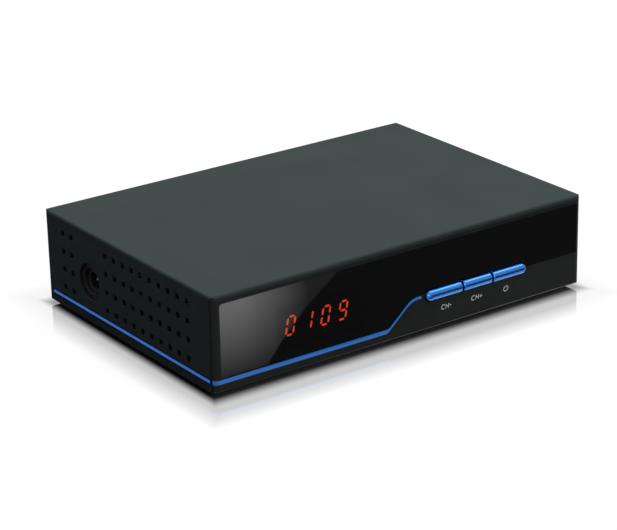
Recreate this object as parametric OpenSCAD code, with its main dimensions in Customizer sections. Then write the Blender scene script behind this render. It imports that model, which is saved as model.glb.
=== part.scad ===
// Set-top box for terrestrial television: folded steel case, moulded front panel with an inlaid window,
// an accent line that turns up into three sprung keys, and the boards and sockets inside.
// Every module is drawn with the front plane at y = 0 and the underside of the case at z = 0, and placed()
// then moves it to the part's own frame, whose origin is the middle of the surface that the feet stand on.

/* [Case] */
// Width of the case across its side walls
body_w = 168; // [162:1:184]
// Depth of the case from the front plane to the rear flange of the cover
body_d = 115; // [111:1:130]
// Height of the case without its feet
body_h = 36; // [35:0.5:42]
// Thickness of the folded steel sheet
sheet_t = 0.8; // [0.6:0.1:1]
// Outside radius of the folds in the sheet
fold_r = 1.2; // [1.1:0.1:1.8]
// Radius of the upright corners, seen from above
corner_r = 2.6; // [2.2:0.1:4]
// Height of the lip that the cover folds down over the front panel
lip_h = 1.8; // [1.4:0.1:2.4]
// Width of the flange that the cover turns in around the rear panel
flange_w = 7; // [6:0.5:8]
// Height of the tray's side flanges
tray_wall_h = 6; // [4:0.5:6.5]
// Gap left between pieces that fit into each other
fit_gap = 0.15; // [0.05:0.05:0.2]

/* [Feet] */
// Diameter of a rubber foot
foot_d = 12; // [8:0.5:16]
// Height of a rubber foot
foot_h = 2; // [1.5:0.1:4]
// Distance from the edges of the case to the middle of a foot
foot_inset = 15; // [12:0.5:25]
// Height of the chamfer around the underside of a foot
foot_edge = 0.5; // [0.2:0.1:1]

/* [Side vents] */
// Side of a square vent
vent_w = 2.3; // [1.6:0.1:2.6]
// Distance between vent columns along the side
vent_pitch = 6.1; // [5.8:0.05:6.4]
// Distance between vent rows
vent_rise = 7.2; // [6:0.05:7.7]
// Number of vent columns
vent_cols = 15; // [12:1:15]
// Number of vent rows
vent_rows = 4; // [2:1:4]
// Distance from the front plane to the first column
vent_front = 15.9; // [14:0.1:18]
// Height of the lowest row above the underside
vent_low = 8.3; // [7.4:0.1:9]
// Vent column on which the power inlet is centred
inlet_col = 11; // [10:1:12]

/* [Power inlet] */
// Diameter of the hole in the left wall
inlet_hole_d = 14.4; // [11:0.1:15]
// Diameter of the round collar of the jack
inlet_collar_d = 9.2; // [8.4:0.1:10]
// Diameter of the mouth of the jack
inlet_bore_d = 6.4; // [5.5:0.1:7]
// Diameter of the pin in the jack
inlet_pin_d = 2; // [1.3:0.1:2.5]
// Depth of the mouth of the jack
inlet_bore_l = 9; // [8:0.5:10]
// How far the jack sits behind the outside of the wall
inlet_setback = 2.2; // [1.6:0.1:3]
// Length of the jack
jack_l = 13; // [12:0.5:15]
// Width of the jack's housing
jack_w = 9; // [8.5:0.5:10]
// Height of the jack's axis above the board
inlet_axis_h = 6.5; // [6:0.1:7.5]

/* [Front panel] */
// Depth of the panel in front of the side walls
seam_y = 2; // [1.8:0.1:2.4]
// Thickness of the panel's front wall
panel_t = 3; // [2.8:0.1:4]
// Frame left of the window
rim_left = 3.2; // [2.5:0.1:6]
// Frame right of the window
rim_right = 2.5; // [2:0.1:6]
// Frame between the window and the lip of the cover
rim_top = 1.1; // [0.8:0.1:3]
// Thickness of the window
window_t = 1.2; // [0.8:0.1:1.5]
// How far the window lies behind the front plane
window_sink = 0.2; // [0.2:0.1:0.6]
// Radius of the window's upper corners
window_r = 1.2; // [0.6:0.1:3]
// Radius along the lower edge of the panel
edge_r = 1; // [0.5:0.1:1.5]
// Distance from the front plane to the back of the panel's skirt
skirt_y = 9; // [7:0.5:10]
// Thickness of the skirt
skirt_t = 1.6; // [1.2:0.1:2]

/* [Accent line] */
// Height of the lower edge of the line above the underside
stripe_z = 3; // [2.9:0.1:4]
// Width of the line along the bottom and the side
stripe_h = 2.1; // [1.4:0.1:2.4]
// Place where the line turns up, from the middle of the case
rise_x = -8.6; // [-20:0.1:-7]
// Slope of the rising stretch
rise_angle = 41; // [36:1:60]
// Width of the rising stretch
rise_w = 1.3; // [1:0.1:2]
// Width of the stretch that runs up to the keys
tail_h = 1.6; // [1:0.1:2.4]
// Gap between the line's end and the keys
tail_gap = 1.7; // [0.8:0.1:3]
// Radius of the line's lower bend
bend_r = 3; // [2:0.1:3.5]
// Depth of the groove for the strip in the side wall
groove_t = 0.4; // [0.2:0.05:0.5]
// Distance from the rear of the case to the end of the side strip
stripe_stop = 4.6; // [4:0.1:12]
// Diameter of the pins that hold the line in the panel
stake_d = 1.4; // [1:0.1:1.6]

/* [Keys] */
// Middle of the row of keys, from the middle of the case
bar_x = 32.4; // [32:0.05:38]
// Height of the keys' axis above the underside
bar_z = 13.2; // [13:0.1:15]
// Radius of the half-round keys
bar_r = 2.2; // [1.8:0.1:2.5]
// Length of the row of keys
bar_len = 47.5; // [44:0.1:50]
// Length of the middle key
mid_len = 13.3; // [11:0.1:15]
// Gap between two keys
key_gap = 0.8; // [0.5:0.1:1.2]
// How far the keys stand out of the front plane
key_proud = 2; // [1.4:0.1:2.2]
// Bevel at the inner ends of the keys
key_bevel = 0.35; // [0.2:0.05:0.6]
// Gap around the keys in their slot
key_play = 0.25; // [0.15:0.05:0.35]
// Travel of a key
key_travel = 0.4; // [0.2:0.05:0.6]
// Width of the collar that holds a key behind the panel
collar_w = 1.2; // [0.8:0.1:1.5]
// Thickness of the collar
collar_t = 1; // [0.8:0.1:1.4]
// Diameter of the post that presses the switch
post_d = 3; // [2:0.1:4]

/* [Display] */
// Height of a digit
digit_h = 7.6; // [6:0.1:8.5]
// Width of a digit
digit_w = 3.9; // [3:0.1:5]
// Distance between digits
digit_pitch = 7.62; // [6.5:0.01:8.2]
// Lean of the digits
digit_lean = 11; // [0:1:14]
// Width of a segment
stroke_w = 0.8; // [0.5:0.05:1]
// Middle of the display, from the middle of the case
display_x = -38.7; // [-42:0.1:-34]
// Height of the middle of the display
display_z = 16.7; // [15:0.1:22]
// Depth of the display module
display_t = 7; // [5:0.1:8]
// Gap around the display and between it and the window
display_gap = 0.4; // [0.2:0.05:0.6]

/* [Boards] */
// Thickness of the circuit boards
board_t = 1.6; // [1.2:0.1:1.8]
// Height of the standoffs under the main board
standoff_h = 7.2; // [6.4:0.1:8]
// Distance from the panel's front wall to the front board
front_stand = 8.4; // [7.8:0.1:10]
// Gap between the main board and the side walls
board_side = 5; // [4.5:0.5:6]
// Distance from the front plane to the main board
board_front = 21; // [20:0.5:23]
// Side of the processor
chip_w = 17; // [12:1:20]
// Side of the heatsink
sink_w = 28; // [22:1:30]
// Height of the heatsink
sink_h = 10; // [6:0.5:12]
// Number of heatsink fins
fin_count = 9; // [6:1:9]
// Thickness of a heatsink fin
fin_t = 1; // [0.8:0.1:1.2]

/* [Rear sockets] */
// Distance from the right wall to the aerial input
antenna_in = 18; // [17.5:0.1:20]
// Distance between the aerial input and output
aerial_pitch = 18; // [17:0.1:20]
// Outside diameter of the aerial input
antenna_d = 11.6; // [11:0.1:12]
// Bore of the aerial input
antenna_bore = 9.6; // [9.4:0.05:9.8]
// Outside diameter of the aerial output
loop_d = 9.5; // [9.3:0.05:9.6]
// Bore of the aerial output
loop_bore = 8.2; // [7.8:0.05:8.4]
// Diameter of the aerial pin
aerial_pin_d = 2.4; // [2.3:0.05:2.5]
// How far the aerial sockets stand out behind the case
barrel_reach = 9; // [7:0.5:12]
// Height of the tuner can
tuner_h = 14; // [12.5:0.5:16]
// Depth of the tuner can
tuner_l = 32; // [26:1:36]
// Middle of the HDMI socket, from the middle of the case
hdmi_x = 24; // [22:0.5:25]
// Inside width of the HDMI socket
hdmi_w = 14; // [13.8:0.1:14.2]
// Inside height of the HDMI socket
hdmi_h = 4.6; // [4.4:0.05:4.8]
// Middle of the USB socket, from the middle of the case
usb_x = 4.5; // [3.5:0.5:6]
// Inside width of the USB socket
usb_w = 12.5; // [12.3:0.1:12.8]
// Inside height of the USB socket
usb_h = 5.1; // [4.9:0.05:5.3]
// Wall of the metal sockets
shell_t = 0.4; // [0.3:0.05:0.5]
// Least gap between two sockets side by side
socket_gap = 1.5; // [1.2:0.1:3]
// Middle of the SCART socket, from the middle of the case
scart_x = -31; // [-33:0.5:-29]
// Width of the SCART socket
scart_w = 47; // [46:0.5:48]
// Height of the SCART socket
scart_h = 16; // [15:0.5:17]
// Distance between SCART contacts
scart_pitch = 3.81; // [3.7:0.01:3.85]
// Distance from the left wall to the coaxial audio socket
spdif_in = 18; // [17:0.5:19]
// Outside diameter of the coaxial audio socket
spdif_d = 8.3; // [8.1:0.05:8.5]
// Hole for the pin of a coaxial audio plug
spdif_bore = 3.2; // [3.1:0.05:3.3]

/* [Fasteners] */
// Distance from the side walls to the screws in the cover's rear flange
cover_screw_in = 30; // [24:1:36]
// Thread diameter of the machine screws
screw_d = 2.6; // [2.3:0.1:2.8]
// Head diameter of the machine screws
head_d = 5.4; // [4.8:0.1:5.8]
// Head height of the machine screws
head_h = 1.8; // [1.2:0.1:2.2]
// Thread diameter of the screws in the panel's bosses
tap_d = 2; // [1.6:0.1:2.2]
// Head diameter of the screws in the panel's bosses
tap_head_d = 4.4; // [3.8:0.1:5]
// Diameter of a boss
boss_d = 6; // [5.2:0.1:6.5]
// Gap around a thread in its hole
thread_gap = 0.05; // [0.03:0.01:0.1]
// Gap around a screw or socket that passes through a panel
pass_gap = 0.3; // [0.2:0.05:0.4]

/* [Hidden] */
$fn = 64;

// Length by which a cut runs past the surface that it opens
past = 1;

// The case and the frame
half_w = body_w / 2;
rear_end = body_d + barrel_reach;
front_y = key_proud - (key_proud + rear_end) / 2;
lip_z = body_h - lip_h;
inner_inset = sheet_t + groove_t + fit_gap;
tray_half_w = half_w - inner_inset;
tray_rear = body_d - sheet_t - fit_gap;
tray_front = seam_y + fit_gap;
tray_top = body_h - sheet_t - fit_gap;
screw_x = half_w - cover_screw_in;
screw_z = body_h - flange_w / 2;
screw_grip = 4;
stripe_rear = body_d - stripe_stop;
foot_places = [
    for (x = [-1, 1], y = [foot_inset, body_d - foot_inset]) [x * (half_w - foot_inset), y]
];
slot_w = 2.4;
slot_l = 16;
slot_pitch = 7;
slot_count = 9;
slot_ys = [48, 78];

// The front panel
rim_z = lip_z - fit_gap;
blank_y = seam_y - fit_gap;
window_back = window_sink + window_t;
window_z = rim_z - rim_top;
skirt_low = sheet_t + fit_gap;
hook_x = 50;
hook_w = 8;
hook_l = 2;
run_z = stripe_z + stripe_h / 2;
stake_in = 8;
stake_pitch = 23;
stake_xs = [for (n = [0 : 2]) rise_x - stake_in - n * stake_pitch];
stake_out = 0.8;
stake_end = panel_t + stake_out;

// The keys
bar_x0 = bar_x - bar_len / 2;
bar_x1 = bar_x + bar_len / 2;
mid_x0 = bar_x - mid_len / 2;
mid_x1 = bar_x + mid_len / 2;
key_spans = [[bar_x0, mid_x0 - key_gap], [mid_x0, mid_x1], [mid_x1 + key_gap, bar_x1]];
bar_y = bar_r - key_proud;
tail_end = bar_x0 - tail_gap;
tail_lift = 0.4;
tail_z = bar_z + tail_lift;
tail_run = tail_end - rise_x - (tail_z - run_z) / tan(rise_angle);
crest_share = 0.65;
crest_r = crest_share * tail_run / tan(rise_angle / 2);
collar_y = panel_t + fit_gap;
front_board_y = panel_t + front_stand;
switch_w = 6;
switch_t = 3.5;
switch_y = front_board_y - switch_t;
plunger_d = 3.2;
plunger_out = 1.5;
plunger_in = 0.8;
plunger_y = switch_y - plunger_out;
guide_l = 2.5;
guide_y = panel_t + guide_l;
guide_t = 1;

// The display
digit_count = 4;
display_w = digit_count * digit_pitch;
display_rim = 1.7;
display_h = digit_h + 2 * display_rim;
display_y = window_back + display_gap;
stroke_t = 0.5;
stroke_gap = 0.7;
stroke_side = (digit_w - stroke_w) / 2;
stroke_half = (digit_h - stroke_w) / 2;
shown_digits = [0, 1, 0, 9];
pin_d = 0.5;
pin_count = 6;
pin_pitch = 2.54;

// Strokes of a digit: top, upper right, lower right, bottom, lower left, upper left, middle
stroke_places = [
    [0, stroke_half], [stroke_side, stroke_half / 2], [stroke_side, -stroke_half / 2], [0, -stroke_half],
    [-stroke_side, -stroke_half / 2], [-stroke_side, stroke_half / 2], [0, 0]
];
stroke_stands = [false, true, true, false, true, true, false];
lit_strokes = [
    [1, 1, 1, 1, 1, 1, 0], [0, 1, 1, 0, 0, 0, 0], [1, 1, 0, 1, 1, 0, 1], [1, 1, 1, 1, 0, 0, 1],
    [0, 1, 1, 0, 0, 1, 1], [1, 0, 1, 1, 0, 1, 1], [1, 0, 1, 1, 1, 1, 1], [1, 1, 1, 0, 0, 0, 0],
    [1, 1, 1, 1, 1, 1, 1], [1, 1, 1, 1, 0, 1, 1]
];

// The front board
wing_left = 11;
wing_right = 15;
board_clear = 2;
front_board_x0 = display_x - display_w / 2 - wing_left;
front_board_x1 = bar_x1 + wing_right;
front_board_z0 = skirt_low + skirt_t + board_clear;
front_board_z1 = tray_top - skirt_t - board_clear;
boss_edge = 4;
boss_places = [
    for (x = [front_board_x0 + boss_edge, front_board_x1 - boss_edge])
        for (z = [front_board_z0 + boss_edge, front_board_z1 - boss_edge]) [x, z]
];
boss_grip = 6;
tap_head_h = 1.5;
eye_gap = 9;
eye_rise = 6;
eye_place = [display_x + display_w / 2 + eye_gap, display_z + eye_rise];
eye_w = 6;
eye_tall = 7;
eye_t = 4;
eye_lens_d = 4.8;
eye_reach = 1.6;

// The main board
board_z = sheet_t + standoff_h;
board_top = board_z + board_t;
board_half_w = half_w - board_side;
board_gap = 0.8;
board_rear = tray_rear - sheet_t - board_gap;
standoff_d = 5.6;
standoff_shank_d = 4;
standoff_inset = 5;
standoff_places = [
    [standoff_inset - board_half_w, board_front + standoff_inset],
    [board_half_w - standoff_inset, board_front + standoff_inset],
    [standoff_inset - board_half_w, board_rear - standoff_inset],
    [board_half_w - standoff_inset, board_rear - tuner_l - standoff_inset]
];
chip_place = [-8, 62];
chip_t = 1.4;
pad_t = 0.5;
pad_edge = 1;
sink_base = 2.5;
memory_size = [10, 14, 1.1];
memory_off = 20;
memory_pitch = 18;
memory_places = [for (side = [-1, 1]) chip_place + [memory_off, side * memory_pitch / 2]];
crystal_place = [-8, 37];
crystal_size = [11, 4.6, 3.6];

// The ribbon between the boards
lead_w = 12.7;
lead_t = 0.9;
lead_x = -10;
lead_z = 21;
lead_r = 4;
header_w = 17;
header_h = 6;
header_t = 6;
header_rear = front_board_y + board_t + header_t;
header_in = 6;
main_header_y = board_front + header_in;

// The rear sockets
antenna_x = half_w - antenna_in;
loop_x = antenna_x - aerial_pitch;
tuner_x = (antenna_x + loop_x) / 2;
tuner_edge = 11;
tuner_w = aerial_pitch + 2 * tuner_edge;
tuner_rear = board_rear;
tuner_wall = 0.5;
lid_t = 0.5;
aerial_z = board_top + tuner_h / 2;
shoulder_d = 12;
aerial_hole_d = shoulder_d + 2 * pass_gap;
core_l = 3;
core_short = 1;
contact_d = 4.2;
socket_out = 0.4;
socket_rear = body_d + socket_out;
hdmi_half_w = hdmi_w / 2 + shell_t;
hdmi_mid = min(hdmi_x, tuner_x - tuner_w / 2 - socket_gap - hdmi_half_w);
hdmi_l = 12;
hdmi_z = board_top + shell_t + hdmi_h / 2;
hdmi_draw = 1.8;
hdmi_foot_w = hdmi_w - 2 * hdmi_draw;
hdmi_step = 0.5;
usb_half_w = usb_w / 2 + shell_t;
usb_mid = min(usb_x, hdmi_mid - hdmi_half_w - socket_gap - usb_half_w);
usb_l = 14;
usb_z = board_top + shell_t + usb_h / 2;
shell_back_t = 0.8;
tongue_short = 1.6;
hdmi_tongue_side = 1.3;
hdmi_tongue_size = [hdmi_w - 2 * hdmi_tongue_side, 1.1];
usb_tongue_side = 0.7;
usb_tongue_size = [usb_w - 2 * usb_tongue_side, 1.8];
usb_tongue_drop = 1.4;
spdif_x = -half_w + spdif_in;
spdif_axis_h = 7;
spdif_z = board_top + spdif_axis_h;
spdif_w = 10;
spdif_l = 11;
spdif_face = board_rear;
spdif_reach = 7.5;
spdif_end = body_d + spdif_reach;
spdif_core_short = 0.5;
spdif_core_d = 6.2;
spdif_bore_l = 9;
scart_out = 1;
scart_rear = body_d + scart_out;
scart_mid = max(scart_x, spdif_x + spdif_w / 2 + socket_gap + scart_w / 2);
scart_l = 20;
scart_front = scart_rear - scart_l;
scart_z = board_top + scart_h / 2;
scart_wall = 1.4;
scart_channel = 1.7;
scart_depth = 9;
scart_slant = 5;
scart_slots = 10;
scart_slot = [1.2, 3.4];
scart_row = 2.5;
scart_blade = [0.5, 3];
scart_blade_short = 2.5;

// Middles of the contact slots, in two rows that are half a pitch apart
scart_places = [
    for (n = [0 : scart_slots - 1], side = [-1, 1])
        [scart_mid + (n - (scart_slots - 1) / 2 + side / 4) * scart_pitch, scart_z + side * scart_row]
];

// The power inlet and the pieces beside it
inlet_y = vent_front + inlet_col * vent_pitch;
inlet_z = board_top + inlet_axis_h;
jack_x = -half_w + inlet_setback;
jack_collar_l = 3.4;
jack_step = 1;
jack_clear = 0.6;
jack_shoulder_d = 2 * inlet_axis_h - jack_clear;
jack_seat = 0.3;
jack_ring_x = -half_w + sheet_t + jack_seat;
jack_ring_lap = 1.2;
jack_ring_d = inlet_hole_d + 2 * jack_ring_lap;
jack_groove = 0.4;
jack_recess_d = inlet_collar_d + 2 * jack_groove;
jack_top = inlet_axis_h + jack_w / 2;
pin_short = 1;
can_in = 22;
can_pitch = 11;
can_xs = [for (n = [0 : 2]) can_in + n * can_pitch - half_w];
can_d = 8;
can_h = 11;
can_gap = 2;
can_y = min(inlet_y, scart_front - can_gap - can_d / 2);
coil_w = 7;
coil_h = 4.2;
coil_r = 1.5;
coil_off = 24;
coil_y = inlet_y - coil_off;

// Finishes
case_black = [0.2, 0.22, 0.22];
panel_black = [0.12, 0.13, 0.13];
gloss_black = [0.05, 0.05, 0.06];
accent_blue = [0.15, 0.36, 0.8];
key_blue = [0.2, 0.5, 0.85];
segment_red = [0.9, 0.25, 0.12];
segment_grey = [0.22, 0.2, 0.2];
steel = [0.62, 0.64, 0.66];
nickel = [0.75, 0.74, 0.7];
board_green = [0.08, 0.32, 0.2];
part_black = [0.08, 0.08, 0.09];
part_white = [0.85, 0.84, 0.8];
lead_grey = [0.6, 0.6, 0.62];
rubber_black = [0.07, 0.07, 0.07];
audio_orange = [0.85, 0.4, 0.1];
can_silver = [0.7, 0.7, 0.72];

// Moves a piece from the front plane and the underside of the case to the part's frame
module placed() {
    translate([0, front_y, foot_h]) children();
}

// Block between two corners
module block(low, high) {
    translate(low) cube(high - low);
}

// Front-view outline (x, z), carried along the depth
module lay(y0, y1) {
    translate([0, y1, 0]) rotate([90, 0, 0]) linear_extrude(y1 - y0) children();
}

// Outline seen from above (x, y), carried upwards
module upright(z0, z1) {
    translate([0, 0, z0]) linear_extrude(z1 - z0) children();
}

// Side-view outline (z, y), carried along the width
module across(x0, x1) {
    translate([x1, 0, 0]) rotate([0, -90, 0]) linear_extrude(x1 - x0) children();
}

// Rods along the three axes
module rod_x(place, d, x0, x1) {
    translate([x0, place.x, place.y]) rotate([0, 90, 0]) cylinder(d = d, h = x1 - x0);
}

module rod_y(place, d, y0, y1) {
    translate([place.x, y0, place.y]) rotate([-90, 0, 0]) cylinder(d = d, h = y1 - y0);
}

module rod_z(place, d, z0, z1) {
    translate([place.x, place.y, z0]) cylinder(d = d, h = z1 - z0);
}

// Rectangle with round corners
module round_rect(low, high, r) {
    translate(low + [r, 0]) square(high - low - [2 * r, 0]);
    translate(low + [0, r]) square(high - low - [0, 2 * r]);
    for (x = [low.x + r, high.x - r], y = [low.y + r, high.y - r]) translate([x, y]) circle(r);
}

// Rectangle between two corners
module rect(low, high) {
    translate(low) square(high - low);
}

// Slot outline with half-round ends, from the middle of one end to the middle of the other
module capsule(x0, x1, z, r) {
    rect([x0, z - r], [x1, z + r]);
    for (x = [x0, x1]) translate([x, z]) circle(r);
}

// The case without its openings, each face moved inwards by inset, from height low upwards
module cover_solid(inset, low) {
    r = fold_r - inset;
    run_out = low - 2 * fold_r;
    intersection() {
        lay(0, body_d) round_rect([-half_w + inset, run_out], [half_w - inset, body_h - inset], r);
        upright(low, body_h)
            round_rect([-half_w + inset, inset], [half_w - inset, body_d - inset], corner_r - inset);
        across(-half_w, half_w) round_rect([run_out, inset], [body_h - inset, body_d - inset], r);
    }
}

// Grid of square vents (z, y), without the columns that the list names
module vent_grid(skipped) {
    for (col = [0 : vent_cols - 1])
        if (len(search(col, skipped)) == 0)
            for (row = [0 : vent_rows - 1])
                translate([vent_low + row * vent_rise, vent_front + col * vent_pitch])
                    square(vent_w, center = true);
}

module top_cover() {
    color(case_black) placed() difference() {
        union() {
            difference() {
                cover_solid(0, 0);
                cover_solid(sheet_t, -past);
                block([-half_w - past, -past, -past], [half_w + past, seam_y, lip_z]);
                block([-half_w + flange_w, body_d - 2 * sheet_t, -past],
                      [half_w - flange_w, body_d + past, body_h - flange_w]);
            }
            // Back of the pressed groove
            block([-half_w + groove_t, seam_y, stripe_z - sheet_t],
                  [-half_w + sheet_t + groove_t, stripe_rear + sheet_t, stripe_z + stripe_h + sheet_t]);
        }
        block([-half_w - past, -past, stripe_z], [-half_w + groove_t, stripe_rear, stripe_z + stripe_h]);
        across(-half_w - past, -half_w + sheet_t + past)
            vent_grid([inlet_col - 1, inlet_col, inlet_col + 1]);
        across(half_w - sheet_t - past, half_w + past) vent_grid([]);
        rod_x([inlet_y, inlet_z], inlet_hole_d, -half_w - past, -half_w + sheet_t + past);
        for (x = [-screw_x, screw_x])
            rod_y([x, screw_z], screw_d + 2 * pass_gap, body_d - 2 * sheet_t, body_d + past);
    }
}

// The tray's outer or inner form, each face moved inwards by inset
module tray_solid(inset, front, top) {
    r = fold_r - inset;
    run_out = tray_front - 4 * corner_r;
    rear_r = corner_r - sheet_t - inset / 2;
    intersection() {
        lay(front, tray_rear - inset)
            round_rect([-tray_half_w + inset, inset], [tray_half_w - inset, top + 2 * fold_r], r);
        upright(0, top)
            round_rect([-tray_half_w + inset, run_out], [tray_half_w - inset, tray_rear - inset], rear_r);
        across(-half_w, half_w) round_rect([inset, run_out], [top + 2 * fold_r, tray_rear - inset], r);
    }
}

// Openings in the rear panel for the sockets
module socket_holes() {
    wide = shell_t + pass_gap;
    for (x = [antenna_x, loop_x]) translate([x, aerial_z]) circle(d = aerial_hole_d);
    translate([spdif_x, spdif_z]) circle(d = spdif_d + 2 * pass_gap);
    translate([hdmi_mid, hdmi_z]) square([hdmi_w + 2 * wide, hdmi_h + 2 * wide], center = true);
    translate([usb_mid, usb_z]) square([usb_w + 2 * wide, usb_h + 2 * wide], center = true);
    translate([scart_mid, scart_z]) square([scart_w + 2 * pass_gap, scart_h + 2 * pass_gap], center = true);
}

// Cooling slots in the floor of the tray
module floor_slots() {
    for (n = [0 : slot_count - 1], y = slot_ys)
        translate([(n - (slot_count - 1) / 2) * slot_pitch, y - slot_l / 2])
            rect([-slot_w / 2, 0], [slot_w / 2, slot_l]);
}

module base_tray() {
    color(case_black) placed() difference() {
        tray_solid(0, tray_front, tray_top);
        tray_solid(sheet_t, tray_front - past, tray_top + past);
        block([-half_w, -past, tray_wall_h], [half_w, tray_rear - sheet_t, body_h]);
        block([-half_w, -past, sheet_t], [half_w, skirt_y + fit_gap, body_h]);
        lay(tray_rear - 2 * sheet_t, tray_rear + past) socket_holes();
        upright(-past, sheet_t + past) floor_slots();
        for (place = standoff_places) rod_z(place, standoff_shank_d + 2 * thread_gap, -past, sheet_t + past);
        for (x = [-screw_x, screw_x])
            rod_y([x, screw_z], screw_d + 2 * thread_gap, tray_rear - 2 * sheet_t, tray_rear + past);
        for (x = [-hook_x, 0, hook_x])
            block([x - hook_w / 2 - pass_gap, skirt_y - hook_l - pass_gap, -past],
                  [x + hook_w / 2 + pass_gap, skirt_y + pass_gap, sheet_t + past]);
    }
}

module rubber_feet() {
    color(rubber_black) placed() for (place = foot_places) translate([place.x, place.y, -foot_h]) {
        cylinder(d1 = foot_d - 2 * foot_edge, d2 = foot_d, h = foot_edge);
        translate([0, 0, foot_edge]) cylinder(d = foot_d, h = foot_h - foot_edge);
    }
}

module cover_screws() {
    color(nickel) placed() for (x = [-screw_x, screw_x]) {
        rod_y([x, screw_z], screw_d, body_d - screw_grip, body_d);
        rod_y([x, screw_z], head_d, body_d, body_d + head_h);
    }
}

// Points of a round corner at b, on the way from a to c
function round_corner(a, b, c, r, steps = 8) =
    let(
        u = (a - b) / norm(a - b),
        v = (c - b) / norm(c - b),
        half_angle = acos(u * v) / 2,
        middle = b + (u + v) / norm(u + v) * r / sin(half_angle),
        from = b + u * r / tan(half_angle) - middle,
        to = b + v * r / tan(half_angle) - middle,
        start = atan2(from.y, from.x),
        turn = atan2(cross(from, to), from * to)
    )
    [for (n = [0 : steps]) middle + r * [cos(start + turn * n / steps), sin(start + turn * n / steps)]];

// Point at height z on the upper (side 1) or lower (side -1) edge of the rising stretch, grown by g
function rise_point(side, g, z) =
    let(
        off = side * (rise_w / 2 + g),
        way = (z - run_z - off * cos(rise_angle)) / sin(rise_angle)
    )
    [rise_x - off * sin(rise_angle) + way * cos(rise_angle), z];

// Upper or lower edge of the accent line from the left corner to its end, grown by g
function accent_edge(side, g) =
    let(
        low = run_z + side * (stripe_h / 2 + g),
        high = tail_z + side * (tail_h / 2 + g),
        first = [-half_w - past, low],
        turn_up = rise_point(side, g, low),
        turn_over = rise_point(side, g, high),
        last = [tail_end + g, high]
    )
    concat(
        [first],
        round_corner(first, turn_up, turn_over, bend_r),
        round_corner(turn_up, turn_over, last, crest_r),
        [last]
    );

function reversed(list) = [for (n = [len(list) - 1 : -1 : 0]) list[n]];

module accent_outline(g) {
    polygon(concat(accent_edge(1, g), reversed(accent_edge(-1, g))));
}

// The window, grown by g: a rounded rectangle without the accent line, the lower panel and the keys
module window_outline(g) {
    under = concat(
        accent_edge(1, fit_gap - g),
        [
            [bar_x0, tail_z + tail_h / 2 + fit_gap - g], [bar_x0, bar_z + fit_gap - g],
            [half_w + past, bar_z + fit_gap - g], [half_w + past, -past], [-half_w - past, -past]
        ]
    );
    difference() {
        round_rect([-half_w + rim_left - g, run_z - window_r],
                   [half_w - rim_right + g, window_z + g], window_r);
        polygon(under);
        capsule(bar_x0 + bar_r, bar_x1 - bar_r, bar_z, bar_r + key_play + fit_gap - g);
    }
}

// The panel in front of the side walls, before anything is cut in it
module bezel_blank() {
    intersection() {
        lay(0, blank_y) rect([-half_w, 0], [half_w, rim_z]);
        upright(0, rim_z) round_rect([-half_w, 0], [half_w, 4 * corner_r], corner_r);
        across(-half_w, half_w) round_rect([0, 0], [2 * body_h, 4 * corner_r], edge_r);
    }
}

// The part of the panel that sits inside the cover, moved inwards by inset
module plug_outline(inset) {
    rect([-tray_half_w + inset, skirt_low + inset], [tray_half_w - inset, tray_top - inset]);
}

// Frame behind the panel that guides the keys' collars, grown by g
module guide_outline(g) {
    rect([bar_x0 - collar_w - g, bar_z - bar_r - collar_w - g],
         [bar_x1 + collar_w + g, bar_z + bar_r + collar_w + g]);
}

module front_bezel() {
    color(panel_black) placed() difference() {
        union() {
            bezel_blank();
            lay(blank_y, panel_t) plug_outline(0);
            lay(panel_t, skirt_y) difference() {
                plug_outline(0);
                plug_outline(skirt_t);
            }
            lay(panel_t, guide_y) difference() {
                guide_outline(key_play + guide_t);
                guide_outline(key_play);
            }
            for (place = boss_places) rod_y(place, boss_d, panel_t, front_board_y);
            for (x = [-hook_x, 0, hook_x])
                block([x - hook_w / 2, skirt_y - hook_l, fit_gap],
                      [x + hook_w / 2, skirt_y, skirt_low + skirt_t]);
        }
        lay(-past, window_back) window_outline(fit_gap);
        lay(-past, blank_y) accent_outline(fit_gap / 2);
        lay(-past, panel_t + past) capsule(bar_x0 + bar_r, bar_x1 - bar_r, bar_z, bar_r + key_play);
        lay(-past, panel_t + past) display_outline(display_gap);
        rod_y(eye_place, eye_lens_d + 2 * display_gap, 0, panel_t + past);
        for (x = stake_xs) rod_y([x, run_z], stake_d + 2 * thread_gap, 0, panel_t + past);
        for (place = boss_places)
            rod_y(place, tap_d + 2 * thread_gap, front_board_y - boss_grip - past, front_board_y + past);
    }
}

module front_window() {
    color(gloss_black) placed() lay(window_sink, window_back) window_outline(0);
}

module front_trim() {
    color(accent_blue) placed() {
        intersection() {
            bezel_blank();
            lay(-past, blank_y) accent_outline(0);
        }
        for (x = stake_xs) rod_y([x, run_z], stake_d, blank_y, stake_end);
    }
}

module side_trim() {
    color(accent_blue) placed() intersection() {
        cover_solid(0, 0);
        block([-half_w - past, seam_y, stripe_z], [-half_w + groove_t, stripe_rear, stripe_z + stripe_h]);
    }
}

// Outline that turns into a bar around its axis, from a bevelled end to a round or bevelled one
module bar_profile(length, rounded) {
    straight = length - bar_r;
    far_end = rounded
        ? [[bar_r, straight], [0, straight]]
        : [[bar_r, length - key_bevel], [bar_r - key_bevel, length], [0, length]];
    polygon(concat([[0, 0], [bar_r - key_bevel, 0], [bar_r, key_bevel]], far_end));
    if (rounded) intersection() {
        translate([0, straight]) circle(bar_r);
        rect([0, straight], [bar_r, length]);
    }
}

// Half-round bar of one key: a round end at the row's ends, a bevelled end between two keys
module key_bar(n) {
    span = key_spans[n];
    intersection() {
        translate([n == 0 ? span[1] : span[0], bar_y, bar_z])
            rotate([0, n == 0 ? -90 : 90, 0]) rotate_extrude() bar_profile(span[1] - span[0], n != 1);
        block([span[0] - past, -body_h, 0], [span[1] + past, bar_y, body_h]);
    }
}

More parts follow.
